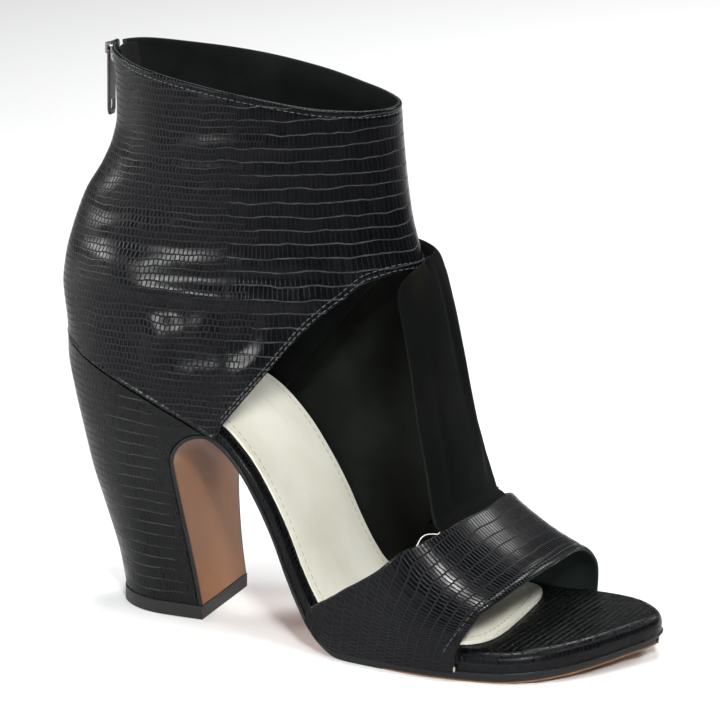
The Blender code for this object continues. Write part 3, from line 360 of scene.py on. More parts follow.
def feather(x):
    """Height of the board's underside: the heel's rise and the toe's spring."""
    tread = OUTSOLE + GAP
    heel = through(FEATHER, share_of(x)) * (HEEL_HEIGHT - tread)
    return tread + heel + through(FEATHER, share_of(x), 2) * TOE_SPRING


def side_line(x):
    """Points of the feather line and its upward normals."""
    slope = (feather(x + 0.0002) - feather(x - 0.0002)) / 0.0004
    size = np.hypot(1.0, slope)
    return feather(x), -slope / size, 1.0 / size


DENSE = np.linspace(from_back(-0.008), from_back(1.009), 900)
DENSE_Z, DENSE_NX, DENSE_NZ = side_line(DENSE)
DENSE_THICK = through(BOARD, share_of(DENSE))


def board_top(x):
    """Height of the board's top: its thickness square to the feather line."""
    return np.interp(x, DENSE + DENSE_NX * DENSE_THICK, DENSE_Z + DENSE_NZ * DENSE_THICK)


def stations(back, front, count):
    """Places along the shoe, closer together at both ends and at bends."""
    x = np.linspace(back, front, 900)
    run = np.gradient(feather(x), x)
    turn = np.abs(np.gradient(np.arctan(run), x))
    pace = np.sqrt(1 + run ** 2) + 0.012 * turn
    way = np.concatenate([[0.0], np.cumsum((pace[1:] + pace[:-1]) / 2)])
    even = np.linspace(0.0, 1.0, count)
    eased = 0.1 * even + 0.9 * (1 - np.cos(even * math.pi)) / 2
    return np.interp(eased * way[-1], way, x)


def xyz(x, y, z):
    """Points from their three coordinates."""
    return np.stack(np.broadcast_arrays(x, y, z), axis=-1)


def pair_map(first, second):
    """A map of two values for each point."""
    return np.stack(np.broadcast_arrays(first, second), axis=-1)


def unit(vectors):
    """The same directions at length 1."""
    return vectors / np.maximum(np.linalg.norm(vectors, axis=-1, keepdims=True), 1e-12)


def turned(normal, away):
    """Normals, each turned over where it runs against a direction."""
    with_it = np.sum(normal * away, axis=-1, keepdims=True) > 0
    return np.where(with_it, 1.0, -1.0) * normal


def run_length(points):
    """Distance along a line of points, from its first one."""
    step = np.linalg.norm(np.diff(points, axis=0), axis=1)
    return np.concatenate([[0.0], np.cumsum(step)])


def oval(angle, z):
    """The cuff's outer face: level ovals whose back, front and side reach
    follow curves of the height."""
    share = z / CUFF_HEIGHT
    back = through(OVALS, share) * COLLAR_LENGTH
    front = through(OVALS, share, 2) * COLLAR_LENGTH
    side = np.where(np.sin(angle) > 0, through(OVALS, share, 3), through(OVALS, share, 4))
    half = side * COLLAR_WIDTH
    middle = COLLAR_LENGTH * (0.140 + 0.122 * np.clip((share - 0.366) / 0.634, 0, 1))
    reach = np.where(np.cos(angle) > 0, front - middle, middle - back)
    return xyz(middle + reach * np.cos(angle), -half * np.sin(angle), z)


def cuff_edge(angle):
    """Height of the cuff's lower edge at an angle from the front."""
    turn = np.minimum(np.abs(np.degrees(angle)), CORNER_TURN)
    return through(CUFF_EDGE, turn) * CUFF_EDGE_HEIGHT


def grid_normals(grid):
    """Unit normals of a grid of points, from its differences both ways."""
    return unit(np.cross(np.gradient(grid, axis=1), np.gradient(grid, axis=0)))


def faced(grid, centre):
    """Unit normals of a grid of points, turned away from a centre."""
    return turned(grid_normals(grid), grid - centre)


def cells(keep):
    """Corner numbers of the kept cells of a grid, four to a cell."""
    rows, columns = keep.shape[0] + 1, keep.shape[1] + 1
    at = np.arange(rows * columns).reshape(rows, columns)
    quads = np.stack([at[:-1, :-1], at[:-1, 1:], at[1:, 1:], at[1:, :-1]], axis=-1)
    return quads[keep]


def loop_faces(levels, size, loop=None):
    """Faces between stacked rings of points, each ring closed on itself and
    gone round in the order of loop."""
    loop = np.arange(size) if loop is None else loop
    after = np.roll(loop, -1)
    base = (np.arange(levels - 1) * size)[:, None]
    return np.stack([base + loop, base + after, base + size + after, base + size + loop],
                    axis=-1).reshape(-1, 4)


def rim_cells(keep, wrap):
    """Faces that join two equal grids along the edge of their kept cells: each
    open edge of the first grid is carried over to the second."""
    rows, columns = keep.shape[0] + 1, keep.shape[1] + 1
    at = np.arange(rows * columns).reshape(rows, columns)
    padded = np.pad(keep, 1)
    if wrap:
        padded[1:-1, 0] = keep[:, -1]
        padded[1:-1, -1] = keep[:, 0]
    low_left, low_right = at[:-1, :-1], at[:-1, 1:]
    high_right, high_left = at[1:, 1:], at[1:, :-1]
    walls = []
    for beside, start, end in ((padded[:-2, 1:-1], low_left, low_right),
                               (padded[1:-1, 2:], low_right, high_right),
                               (padded[2:, 1:-1], high_right, high_left),
                               (padded[1:-1, :-2], high_left, low_left)):
        bare = keep & ~beside
        first, last = start[bare], end[bare]
        count = rows * columns
        walls.append(np.stack([last, first, first + count, last + count], axis=-1))
    return np.vstack(walls)


def make_piece(name, points, faces, finishes, node, maps=(), kinds=None, smooth=50):
    """One closed piece from points, faces and its maps (a pair of values for
    each point). Points that meet are merged and faces are turned outwards."""
    mesh = bpy.data.meshes.new(name)
    mesh.from_pydata(points.tolist(), [], [list(face) for face in faces])
    corners = np.zeros(len(mesh.loops), np.int32)
    mesh.loops.foreach_get("vertex_index", corners)
    for title, values in maps:
        layer = mesh.uv_layers.new(name=title)
        layer.data.foreach_set("uv", values[corners].astype(np.float32).ravel())
    if kinds is not None:
        mesh.polygons.foreach_set("material_index", np.asarray(kinds, np.int32))
    work = bmesh.new()
    work.from_mesh(mesh)
    bmesh.ops.remove_doubles(work, verts=work.verts, dist=2e-6)
    bmesh.ops.dissolve_degenerate(work, edges=work.edges, dist=1e-7)
    bmesh.ops.recalc_face_normals(work, faces=work.faces)
    if work.calc_volume(signed=True) < 0:
        bmesh.ops.reverse_faces(work, faces=work.faces)
    work.to_mesh(mesh)
    work.free()
    mesh.shade_smooth()
    mesh.set_sharp_from_angle(angle=math.radians(smooth))
    for finish in finishes:
        mesh.materials.append(finish)
    add_piece(name, mesh, node, "shoe")


def add_object(name, data):
    """Puts a mesh, a light or a camera in the scene."""
    thing = bpy.data.objects.new(name, data)
    bpy.context.collection.objects.link(thing)
    return thing


def add_piece(name, mesh, node, body):
    """Puts a mesh in the scene as a piece that rides a body, and stands for a
    node where one is given."""
    piece = add_object(name, mesh)
    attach(piece, body)
    if node:
        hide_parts(node)
    return piece


def make_wall(name, outer, inner, finishes, node, maps, keep=None, wrap=False):
    """A wall between two equal grids: outer faces take the first finish, inner
    faces the second and the edges the third."""
    rows, columns = outer.shape[:2]
    if keep is None:
        keep = np.ones((rows - 1, columns - 1), bool)
    count = rows * columns
    front = cells(keep)
    back = front[:, ::-1] + count
    walls = rim_cells(keep, wrap)
    points = np.vstack([outer.reshape(-1, 3), inner.reshape(-1, 3)])
    kinds = np.repeat([0, 1, 2], [len(front), len(back), len(walls)])
    doubled = [(title, np.vstack([grid.reshape(-1, 2)] * 2)) for title, grid in maps]
    used, faces = np.unique(np.vstack([front, back, walls]), return_inverse=True)
    doubled = [(title, values[used]) for title, values in doubled]
    make_piece(name, points[used], faces.reshape(-1, 4), finishes, node, doubled, kinds)


def make_slab(name, rings, finishes, node, maps, top_kind=0, under_kind=0):
    """A body from stacked rings of paired points: outer side from back to
    front, then inner side from back to front, closed below and above."""
    half = rings.shape[1] // 2
    levels, size = rings.shape[:2]
    loop = np.concatenate([np.arange(half), np.arange(size - 1, half - 1, -1)])
    sides = loop_faces(levels, size, loop)
    i = np.arange(half - 1)
    cap = np.stack([i, i + 1, half + i + 1, half + i], axis=-1)
    faces = np.vstack([sides, cap, cap + (levels - 1) * size])
    kinds = np.repeat([0, under_kind, top_kind], [len(sides), len(cap), len(cap)])
    flat = [(title, values.reshape(-1, 2)) for title, values in maps]
    make_piece(name, rings.reshape(-1, 3), faces, finishes, node, flat, kinds, 40)


def make_stitches(name, line, outwards, sizes, finish):
    """A row of sewn stitches: one small six-sided bead, thin at both ends,
    repeated at even steps along a line and laid in its own direction."""
    pitch, length, width, rise = sizes
    along = run_length(line)
    count = max(int(along[-1] / pitch), 1)
    centres = (np.arange(count) + 0.5) * along[-1] / count

    def read(values, at):
        """What a line's points hold, at distances along it."""
        return np.stack([np.interp(at, along, values[:, k]) for k in range(3)], axis=1)

    middle = read(line, centres)
    tangent = unit(read(line, centres + pitch * 0.2) - middle)
    up = read(outwards, centres)
    up = unit(up - np.sum(up * tangent, axis=1)[:, None] * tangent)
    beside = np.cross(up, tangent)
    turn = np.arange(6) * math.pi / 3
    bead = []
    for way, size in ((-0.5, 0.30), (-0.32, 0.85), (0.0, 1.0), (0.32, 0.85), (0.5, 0.30)):
        bead.append(xyz(way * length, np.cos(turn) * width / 2 * size,
                        np.sin(turn) * rise * size))
    bead = np.vstack(bead)
    points = (middle[:, None] + bead[None, :, 0:1] * tangent[:, None]
              + bead[None, :, 1:2] * beside[:, None] + bead[None, :, 2:3] * up[:, None])
    faces = loop_faces(5, 6).tolist() + [list(range(5, -1, -1)), list(range(24, 30))]
    every = []
    for number in range(count):
        every += [[v + number * 30 for v in face] for face in faces]
    make_piece(name, points.reshape(-1, 3), every, [finish], None, smooth=80)


class Finish:
    """A material being made: its shader and short ways to add what feeds it."""

    def __init__(self, name, colour, roughness, **fixed):
        self.material = bpy.data.materials.new(name)
        self.material.use_nodes = True
        self.tree = self.material.node_tree
        self.shader = self.tree.nodes["Principled BSDF"]
        self.give(self.shader.inputs["Base Color"], (*colour, 1.0))
        self.give(self.shader.inputs["Roughness"], roughness)
        for socket, value in fixed.items():
            self.give(self.shader.inputs[socket.replace("_", " ")], value)

    def give(self, socket, value):
        """Sets a socket, or joins it to what feeds it."""
        if isinstance(value, bpy.types.NodeSocket):
            self.tree.links.new(value, socket)
        else:
            socket.default_value = value

    def add(self, kind, feeds=(), **settings):
        """A node with its settings, and its inputs by number or by name."""
        node = self.tree.nodes.new("ShaderNode" + kind)
        for key, value in settings.items():
            setattr(node, key, value)
        for key, value in dict(feeds).items():
            self.give(node.inputs[key], value)
        return node

    def math(self, operation, a, b=0.0, c=0.0):
        """One step of arithmetic."""
        return self.add("Math", {0: a, 1: b, 2: c}, operation=operation).outputs[0]

    def times(self, a, b):
        """The product of two values."""
        return self.math("MULTIPLY", a, b)

    def blend(self, share, a, b):
        """From value a to value b by a share."""
        return self.math("ADD", self.times(a, self.math("SUBTRACT", 1.0, share)),
                         self.times(b, share))

    def rise(self, value, low, high, start=0.0, end=1.0):
        """Goes smoothly from start to end while the value goes from low to high."""
        feeds = {"Value": value, "From Min": low, "From Max": high, "To Min": start,
                 "To Max": end}
        node = self.add("MapRange", feeds, interpolation_type="SMOOTHSTEP")
        return node.outputs[0]

    def pair(self, title):
        """The two values of one of the piece's own maps."""
        split = self.add("SeparateXYZ", {0: self.add("UVMap", uv_map=title).outputs[0]})
        return split.outputs[0], split.outputs[1]

    def place(self):
        """The place on the piece, in metres."""
        return self.add("TexCoord").outputs["Object"]

    def noise(self, at, scale, detail=2.0, roughness=0.5):
        """Soft noise from 0 to 1."""
        feeds = {"Vector": at, "Scale": scale, "Detail": detail, "Roughness": roughness}
        return self.add("TexNoise", feeds).outputs[0]

    def join(self, x, y):
        """Two values as one place."""
        return self.add("CombineXYZ", {0: x, 1: y}).outputs[0]

    def mix(self, share, a, b):
        """From colour a to colour b by a share."""
        node = self.add("Mix", data_type="RGBA")
        self.give(node.inputs[0], share)
        self.give(node.inputs[6], a if isinstance(a, bpy.types.NodeSocket) else (*a, 1.0))
        self.give(node.inputs[7], b if isinstance(b, bpy.types.NodeSocket) else (*b, 1.0))
        return node.outputs[2]

    def done(self, base, normal, rough=None):
        """Joins the colour, the relief and the roughness to the shader."""
        self.give(self.shader.inputs["Base Color"], base)
        self.give(self.shader.inputs["Normal"], normal)
        if rough is not None:
            self.give(self.shader.inputs["Roughness"], rough)
        return self.material

    def relief(self, height, depth, normal=None):
        """Turns a height from 0 to 1 into a relief of that depth."""
        feeds = {"Height": height, "Distance": depth, "Strength": 1.0}
        if normal is not None:
            feeds["Normal"] = normal
        return self.add("Bump", feeds).outputs[0]

    def tiles(self, u, v, width, row):
        """Rows of tiles, each row moved along by half a tile: distance to the
        nearest gap across and along, a chance value for each tile, and the
        number of its row."""
        number = self.math("FLOOR", self.math("DIVIDE", v, row))
        moved = self.math("MULTIPLY_ADD", number, width / 2, u)
        across = self.math("PINGPONG", moved, width / 2)
        along = self.math("PINGPONG", v, row / 2)
        tile = self.math("FLOOR", self.math("DIVIDE", moved, width))
        chance = self.add("TexWhiteNoise", {"Vector": self.join(tile, number)}).outputs[0]
        return across, along, chance, number


# The fourth argument sets the strength of the painted groove highlights.
def lizard(name, fine, coarse, lines, gloss, wander=1.6, tone=BLACK):
    """Black embossed leather: rows of small tiles, and where the zone map is high the same rows
    taken together, with painted highlights between them: light dashed lines that stand in for
    glints on the groove edges."""
    f = Finish(name, tone, gloss, Specular_IOR_Level=0.15)
    u, v = f.pair("scales")
    zone, _ = f.pair("zone")
    at = f.join(u, v)
    sway = f.math("SUBTRACT", f.noise(at, 0.07, 2.0), 0.5)
    small = f.math("SUBTRACT", f.noise(at, 0.55, 1.0), 0.5)
    v = f.math("MULTIPLY_ADD", sway, wander * 2.0, v)
    v = f.math("MULTIPLY_ADD", small, 0.22, v)
    u = f.math("MULTIPLY_ADD", small, 0.5, u)
    wide, tall, chance, _ = f.tiles(u, v, *fine)
    wide_c, tall_c, chance_c, number_c = f.tiles(u, v, *coarse)
    row_chance = f.add("TexWhiteNoise", {"Vector": f.join(number_c, 3.0)}).outputs[0]
    edge = f.math("ADD", zone, f.times(f.math("SUBTRACT", row_chance, 0.5), 0.9))
    big = f.rise(edge, 0.45, 0.55)
    tile = f.times(f.rise(wide, 0.03, 0.30), f.rise(tall, 0.03, 0.32))
    tile_c = f.times(f.rise(wide_c, 0.03, 0.28, 0.55), f.rise(tall_c, 0.05, 0.40))
    height = f.blend(big, tile, tile_c)
    gap = f.math("SUBTRACT", 1.0, height)
    luck = f.blend(big, chance, chance_c)
    cloud = f.noise(at, 0.11, 2.0)
    base = f.mix(f.times(luck, 0.35), tone, tuple(2.2 * c for c in tone))
    # Gaps turned towards the lighter grey: painted light caught in the grooves
    base = f.mix(f.times(gap, 0.75), base, GAP_GREY)
    # Painted highlights: light dashes along the grooves of the coarse rows, standing in for
    # glints on the groove edges
    glint_dash = f.times(f.rise(wide_c, 0.12, 0.42, 0.15), f.rise(tall_c, 0.10, 0.24, 1.0, 0.0))
    fade = f.rise(f.noise(at, 0.21, 1.0), 0.30, 0.62, 0.45)
    glint_dash = f.times(f.times(glint_dash, fade), lines)
    base = f.mix(f.times(glint_dash, f.rise(big, 0.0, 1.0, 0.10)), base, GROOVE_GLINT)
    rough = f.math("ADD", f.times(gap, 0.42), f.times(luck, 0.07))
    rough = f.math("ADD", rough, f.rise(cloud, 0.3, 0.7, gloss - 0.03, gloss + 0.05))
    soft = f.relief(cloud, WAVE_DEPTH)
    return f.done(base, f.relief(height, TILE_DEPTH, soft), rough)


def suede():
    """Near-black suede: short nap as fine noise, brushed patches a little lighter, and an
    olive-brown patch of the fold map that is painted light on the lit upper near part of the
    outer face."""
    f = Finish("suede_nap", (0.0040, 0.0046, 0.0042), 0.95, Sheen_Weight=0.015,
               Sheen_Roughness=0.35, Specular_IOR_Level=0.05)
    f.give(f.shader.inputs["Sheen Tint"], (0.62, 0.80, 0.72, 1.0))
    at = f.place()
    painted_light_band, edge = f.pair("zone")
    brushed = f.rise(f.noise(at, 42.0, 3.0, 0.6), 0.42, 0.70)
    nap = f.noise(at, 1500.0, 2.0, 0.6)
    base = f.mix(f.times(brushed, 0.55), (0.0024, 0.0028, 0.0026),
                 (0.0058, 0.0064, 0.0057))
    # Painted light: olive-brown where the upper near part of the outer face takes the light
    base = f.mix(painted_light_band, base, (0.013, 0.0108, 0.0072))
    base = f.mix(edge, base, (0.011, 0.016, 0.0135))
    base = f.mix(f.times(nap, 0.35), base, (0.0058, 0.0066, 0.0060))
    return f.done(base, f.relief(nap, 0.00008))


def lining(name, colour, grain=900.0, depth=0.00004):
    """Plain cloth or skived leather with a fine even grain."""
    f = Finish(name, colour, 0.8, Specular_IOR_Level=0.10)
    at = f.place()
    grit = f.noise(at, grain, 2.0, 0.6)
    patch = f.rise(f.noise(at, 60.0, 2.0), 0.35, 0.7)
    lighter = tuple(min(1.0, 1.9 * c + 0.004) for c in colour)
    base = f.mix(f.times(f.times(grit, patch), 0.8), colour, lighter)
    return f.done(base, f.relief(grit, depth))


def sock_leather():
    """Cream insole leather: faint clouds, a soft sheen where the foot rubs and
    a fine grain."""
    f = Finish("sock_cream", (0.80, 0.78, 0.66), 0.6, Specular_IOR_Level=0.2)
    at = f.place()
    cloud = f.rise(f.noise(at, 38.0, 3.0, 0.55), 0.36, 0.68)
    streak = f.noise(f.add("Mapping", {"Vector": at, "Scale": (22.0, 150.0, 22.0)}).outputs[0],
                     1.0, 3.0)
    base = f.mix(cloud, (0.80, 0.78, 0.66), (0.86, 0.85, 0.75))
    base = f.mix(f.rise(streak, 0.55, 0.80, 0.0, 0.25), base, (0.66, 0.63, 0.50))
    rough = f.rise(cloud, 0.0, 1.0, 0.62, 0.50)
    return f.done(base, f.relief(f.noise(at, 1100.0, 2.0), 0.00003), rough)


def sole_leather():
    """Tan sole leather: cloudy colour, faint upright streaks and small scuffs."""
    f = Finish("sole_tan", (0.255, 0.128, 0.070), 0.5, Specular_IOR_Level=0.25)
    at = f.place()
    cloud = f.rise(f.noise(at, 55.0, 3.0, 0.6), 0.35, 0.68)
    scratch = f.noise(f.add("Mapping", {"Vector": at, "Scale": (900.0, 420.0, 30.0)}).outputs[0],
                      1.0, 2.0)
    base = f.mix(cloud, (0.235, 0.108, 0.048), (0.272, 0.130, 0.060))
    base = f.mix(f.rise(scratch, 0.66, 0.78, 0.0, 0.30), base, (0.17, 0.080, 0.040))
    rough = f.rise(cloud, 0.0, 1.0, 0.46, 0.54)
    return f.done(base, f.relief(f.noise(at, 700.0, 2.0), 0.00003), rough)


def plain(name, colour, roughness, metallic=0.0, grain=500.0, depth=0.00002, spread=0.3):
    """An even finish with a little cloudiness in colour and gloss."""
    f = Finish(name, colour, roughness, Metallic=metallic, Specular_IOR_Level=0.3)
    at = f.place()
    cloud = f.noise(at, grain, 2.0)
    darker = tuple(c * (1 - spread) for c in colour)
    lighter = tuple(min(1.0, c * (1 + spread)) for c in colour)
    low, high = max(roughness - 0.07, 0.05), roughness + 0.07
    rough = f.rise(cloud, 0.2, 0.8, low, high)
    return f.done(f.mix(cloud, darker, lighter), f.relief(cloud, depth), rough)


CUFF_SKIN = lizard("cuff_lizard", (1.75, 2.45), (1.85, 4.90), 1.0, 0.19)
STRAP_SKIN = lizard("strap_lizard", (1.45, 3.60), (1.45, 3.60), 0.35, 0.19, 1.0)
HEEL_SKIN = lizard("heel_lizard", (1.55, 2.60), (1.55, 4.40), 0.9, 0.24, 1.2,
                   (0.0024, 0.0026, 0.0029))
TOE_SKIN = lizard("toe_lizard", (1.60, 2.60), (1.60, 2.60), 0.8, 0.24, 0.5,
                  (0.0028, 0.0030, 0.0031))
RAND_SKIN = lizard("rand_lizard", (1.70, 3.40), (1.70, 3.40), 0.15, 0.24, 0.3)
SUEDE = suede()
SUEDE_EDGE = lining("suede_cut_edge", (0.0030, 0.0042, 0.0036))
# Inside face lighter than the outer nap: painted light on a face that lies in shade
SUEDE_INSIDE = lining("suede_inside", (0.0058, 0.0070, 0.0058), 1200.0, 0.00006)
CUFF_LINING = lining("cuff_lining", (0.0050, 0.0060, 0.0060), 1300.0)
CUT_EDGE = lining("cut_edge", (0.030, 0.044, 0.040), 1600.0, 0.00012)
STRAP_LINING = lining("strap_lining", (0.010, 0.014, 0.012), 900.0)
SOCK_CREAM = sock_leather()
SOLE_TAN = sole_leather()
EDGE_INK = plain("edge_ink", (0.0040, 0.0043, 0.0043), 0.36)
TIP_RUBBER = plain("tip_rubber", (0.0075, 0.0078, 0.0078), 0.50, 0.0, 900.0, 0.00005)
CREAM_THREAD = plain("cream_thread", (0.43, 0.40, 0.30), 0.7)
# Pale strand colour: a painted highlight on the strap's rear edge
PAINTED_EDGE_HIGHLIGHT = plain("painted_edge_highlight", (0.62, 0.61, 0.57), 0.6)
BLACK_THREAD = plain("black_thread", (0.075, 0.080, 0.084), 0.45)
ZIP_CLOTH = lining("zip_cloth", (0.010, 0.010, 0.011), 2200.0, 0.00008)
ZIP_METAL = plain("zip_metal", (0.34, 0.33, 0.32), 0.22, 1.0)
TOOTH_METAL = plain("tooth_metal", (0.060, 0.058, 0.056), 0.34, 1.0)


def cuff_surface():
    """The cuff's outer face on a fine grid: an oval at each height, settled on
    the sole's outline near its foot. Returns angle, points, distance up from
    the lower edge and down from the rim."""
    slit = math.asin(ZIP_SLIT / COLLAR_WIDTH)
    corner = math.radians(CORNER_TURN)
    near = np.concatenate([np.linspace(0.0, corner, 67)[1:],
                           np.linspace(corner, math.pi - slit, 77)[1:],
                           np.linspace(math.pi - slit, math.pi, 5)[1:]])
    angle = np.concatenate([-near[::-1], [0.0], near])
    seat = Outline(CUFF_WALL + GAP)
    turn = np.clip((np.abs(angle) - corner) / (math.pi - corner), 0.0, 1.0)
    x_edge = CUFF_CORNER + (seat.back - CUFF_CORNER) * np.sin(turn * math.pi / 2)
    y_edge = np.where(angle > 0, seat.outer(x_edge), seat.inner(x_edge))
    y_edge = np.where(turn < 1.0, y_edge, seat.back_y)
    on_sole = np.abs(angle) >= corner - 1e-9
    low = np.where(on_sole, feather(x_edge) + GAP, cuff_edge(angle))
    high = through(RIM, np.abs(np.degrees(angle))) * CUFF_HEIGHT
    near_corner = np.where(on_sole, 1.0, ease(np.abs(angle), corner - 0.30, corner))
    edge = np.array([0.0, 0.00012, 0.00035, 0.0007, 0.0011, 0.0016, 0.0022, 0.0029])
    middle = np.linspace(0.0, 1.0, 82)[1:-1]
    room = high - low
    z = np.vstack([low + edge[:, None],
                   low + edge[-1] + (room - 2 * edge[-1]) * middle[:, None],
                   high - edge[::-1, None]])
    points = oval(angle[None], z)
    up = z - low
    stay = near_corner * (1 - ease(up, 0.0, CUFF_SETTLE))
    side = np.where(angle > 0, seat.outer(points[..., 0]), seat.inner(points[..., 0]))
    base_x = np.where(on_sole, x_edge, points[..., 0])
    base_y = np.where(on_sole, y_edge, side)
    points[..., 0] += (base_x - points[..., 0]) * stay
    points[..., 1] += (base_y - points[..., 1]) * stay
    return angle, points, up, high - z


def level_normals(grid):
    """Level unit normals of the cuff's face, pointing outwards."""
    normal = grid_normals(grid)
    wrapped = np.concatenate([grid[:, -2:-1], grid, grid[:, 1:2]], axis=1)
    normal[:, [0, -1]] = grid_normals(wrapped)[:, 1:-1][:, [0, -1]]
    normal[..., 2] = 0.0
    return turned(unit(normal), grid - grid.mean(axis=1, keepdims=True))


def cuff_relief(angle, points):
    """Soft troughs and ridges from a list: each a long hump, leaning by its own angle, over the
    distance around the cuff and the height."""
    around = np.degrees(angle)[None] * np.ones_like(points[..., 2])
    total = np.zeros_like(around)
    for turn, height, long, wide, lean, depth in CUFF_FORMS:
        for side in (1.0, -0.6):
            away = (around * np.sign(side) - turn) * DEGREE_RUN
            rise = points[..., 2] - height
            c, s = math.cos(math.radians(lean)), math.sin(math.radians(lean))
            one = (away * -c + rise * s) / long
            two = (away * s + rise * c) / wide
            total += depth * abs(side) * np.exp(-(one ** 2 + two ** 2))
    return total


def make_cuff():
    """The cuff: a wall round the ankle with rolled edges, open above the zip's
    end at the back, with soft creases and a turned lower edge."""
    angle, base, up, down = cuff_surface()
    out = level_normals(base)
    free = np.abs(np.degrees(angle))[None] < CORNER_TURN
    shape = cuff_relief(angle, base) * ease(up, 0.002, 0.012) * ease(down, 0.002, 0.012)
    turned = np.where(free, bump_at(up, HEM_SEAM, SEAM_HALF), 0.0) * -HEM_DIP
    rim_seam = bump_at(down, RIM_LINE, SEAM_HALF) * -HEM_DIP
    welt = np.where(free, 0.0, bump_at(up, 0.0009, 0.0009) * 0.0003)
    rim_roll, edge_roll = roll(down, EDGE_ROLL), roll(up, EDGE_ROLL)
    foot_roll = np.where(free, edge_roll, roll(up, SEAM_ROLL))
    shift = shape + turned + rim_seam + welt - foot_roll - rim_roll
    outer = base + out * shift[..., None]
    wall = CUFF_WALL - rim_roll - np.where(free, edge_roll, 0.0)
    inner = base - out * wall[..., None]
    row = int(np.argmin(np.abs(base[:, -1, 2] - ZIP_END)))
    keep = np.ones((base.shape[0] - 1, base.shape[1] - 1), bool)
    keep[row:, :4] = False
    keep[row:, -4:] = False
    around = run_length(base[base.shape[0] // 2]) * TO_MM
    scales = pair_map(around, (base[..., 2] - 0.055 * base[..., 0]) * TO_MM)
    zone = pair_map(ease(base[..., 0], 0.022, 0.050), 0.0)
    make_wall("cuff_leather", outer, inner, [CUFF_SKIN, CUFF_LINING, CUT_EDGE],
              "cuff", [("scales", scales), ("zone", zone)], keep, True)
    front_columns = np.abs(np.degrees(angle)) < CORNER_TURN - 0.5
    for number, offset in enumerate(HEM_LINES):
        level = int(np.argmin(np.abs(up[:, angle.size // 2] - offset)))
        make_stitches("edge_stitches_%d" % (number + 1), outer[level, front_columns],
                      out[level, front_columns], CUFF_STITCH, BLACK_THREAD)
    level = int(np.argmin(np.abs(down[:, angle.size // 2] - RIM_LINE)))
    kept = slice(5, -5)
    make_stitches("rim_stitches", outer[level, kept], out[level, kept], CUFF_STITCH,
                  BLACK_THREAD)


def arch(x, across):
    """The strap's outer face: a flattened half oval over the foot, from one
    side of the sole (across 0) to the other (across 1)."""
    seat = Outline(STRAP_WALL + WALL_ROOM)
    crown = through(CROWN, share_of(x)) * STRAP_CROWN
    base = board_top(x) - 0.002
    turn = across * math.pi
    side = np.cos(turn)
    half = np.where(side > 0, STRAP_SKEW - seat.outer(x), seat.inner(x) - STRAP_SKEW)
    y = STRAP_SKEW - half * np.sign(side) * np.abs(side) ** ARCH_POWER
    z = base + (crown - base) * np.abs(np.sin(turn)) ** ARCH_POWER
    return xyz(x, y, z)


def make_strap():
    """The toe strap: an arched wall between two curved edges, with a turned
    front edge."""
    turn = np.linspace(0.0, math.pi, 150)
    across = (1 - np.cos(turn)) / 4 + turn / math.pi / 2
    rear = from_back(through(STRAP_EDGES, across))
    front = from_back(through(STRAP_EDGES, across, 2))
    steps = np.concatenate([[0.0, 0.004, 0.012, 0.024, 0.04], np.linspace(0.06, 0.94, 40),
                            [0.96, 0.976, 0.988, 0.996, 1.0]])
    x = rear + (front - rear) * steps[:, None]
    face = arch(x, across[None] * np.ones_like(x))
    seat = Outline(STRAP_WALL + WALL_ROOM)
    legs = []
    for end in (0, -1):
        foot_x = face[:, end, 0] - (0.0015 * (1 - steps) if end == 0 else 0.0)
        foot_y = seat.outer(foot_x) if end == 0 else seat.inner(foot_x)
        legs.append(xyz(foot_x, foot_y, feather(foot_x) + GAP / 2)[:, None])
    grid = np.concatenate([legs[0], face, legs[1]], axis=1)
    centre = np.array([from_back(0.72), STRAP_SKEW, STRAP_CROWN * 0.2])
    out = faced(grid, centre)
    length = np.concatenate([(front - rear)[:1], front - rear, (front - rear)[-1:]])
    from_rear = steps[:, None] * length
    from_front = (1 - steps)[:, None] * length
    fold = sum(bump_at(from_front, at, FOLD_HALF) * depth for at, depth in STRAP_FOLDS)
    shift = fold - roll(from_front, EDGE_ROLL) - roll(from_rear, REAR_ROLL)
    legs_fade = np.ones(grid.shape[1])
    legs_fade[[0, -1]] = 0.0
    outer = grid + out * (shift * legs_fade)[..., None]
    wall = STRAP_WALL - roll(from_front, EDGE_ROLL) - roll(from_rear, REAR_ROLL)
    inner = grid - out * wall[..., None]
    inner[:, [0, -1], ::2] = outer[:, [0, -1], ::2]
    over = run_length(grid[25]) * TO_MM
    scales = pair_map(over, from_front * TO_MM)
    zone = np.zeros_like(scales)
    make_wall("strap_leather", outer, inner, [STRAP_SKIN, STRAP_LINING, CUT_EDGE],
              "toe_strap", [("scales", scales), ("zone", zone)])
    level = int(np.argmin(np.abs(from_front[:, 75] - STRAP_LINE)))
    make_stitches("strap_stitches", outer[level, 3:-3], out[level, 3:-3], STRAP_STITCH,
                  BLACK_THREAD)


def clear_of_cuff(points, need):
    """Moves points level with the cuff's wall out to clear its outer face."""
    x, y, z = points[..., 0], points[..., 1], points[..., 2]
    front = oval(np.zeros_like(z), z)
    side = oval(np.where(y > 0, -math.pi / 2, math.pi / 2), z)
    middle = side[..., 0]
    reach = front[..., 0] - middle
    half = np.abs(side[..., 1])
    angle = np.arctan2(-y / half, np.maximum((x - middle) / reach, -0.2))
    wall = oval(angle, z)
    away = np.stack([x - middle, y], axis=-1)
    far = np.linalg.norm(away, axis=-1)
    least = np.hypot(wall[..., 0] - middle, wall[..., 1]) + need
    overlap = ease(z - cuff_edge(angle), -0.010, -0.003)
    grow = np.where(far < least, (least / far - 1) * overlap, 0.0)
    moved = points.copy()
    moved[..., :2] += away * grow[..., None]
    return moved


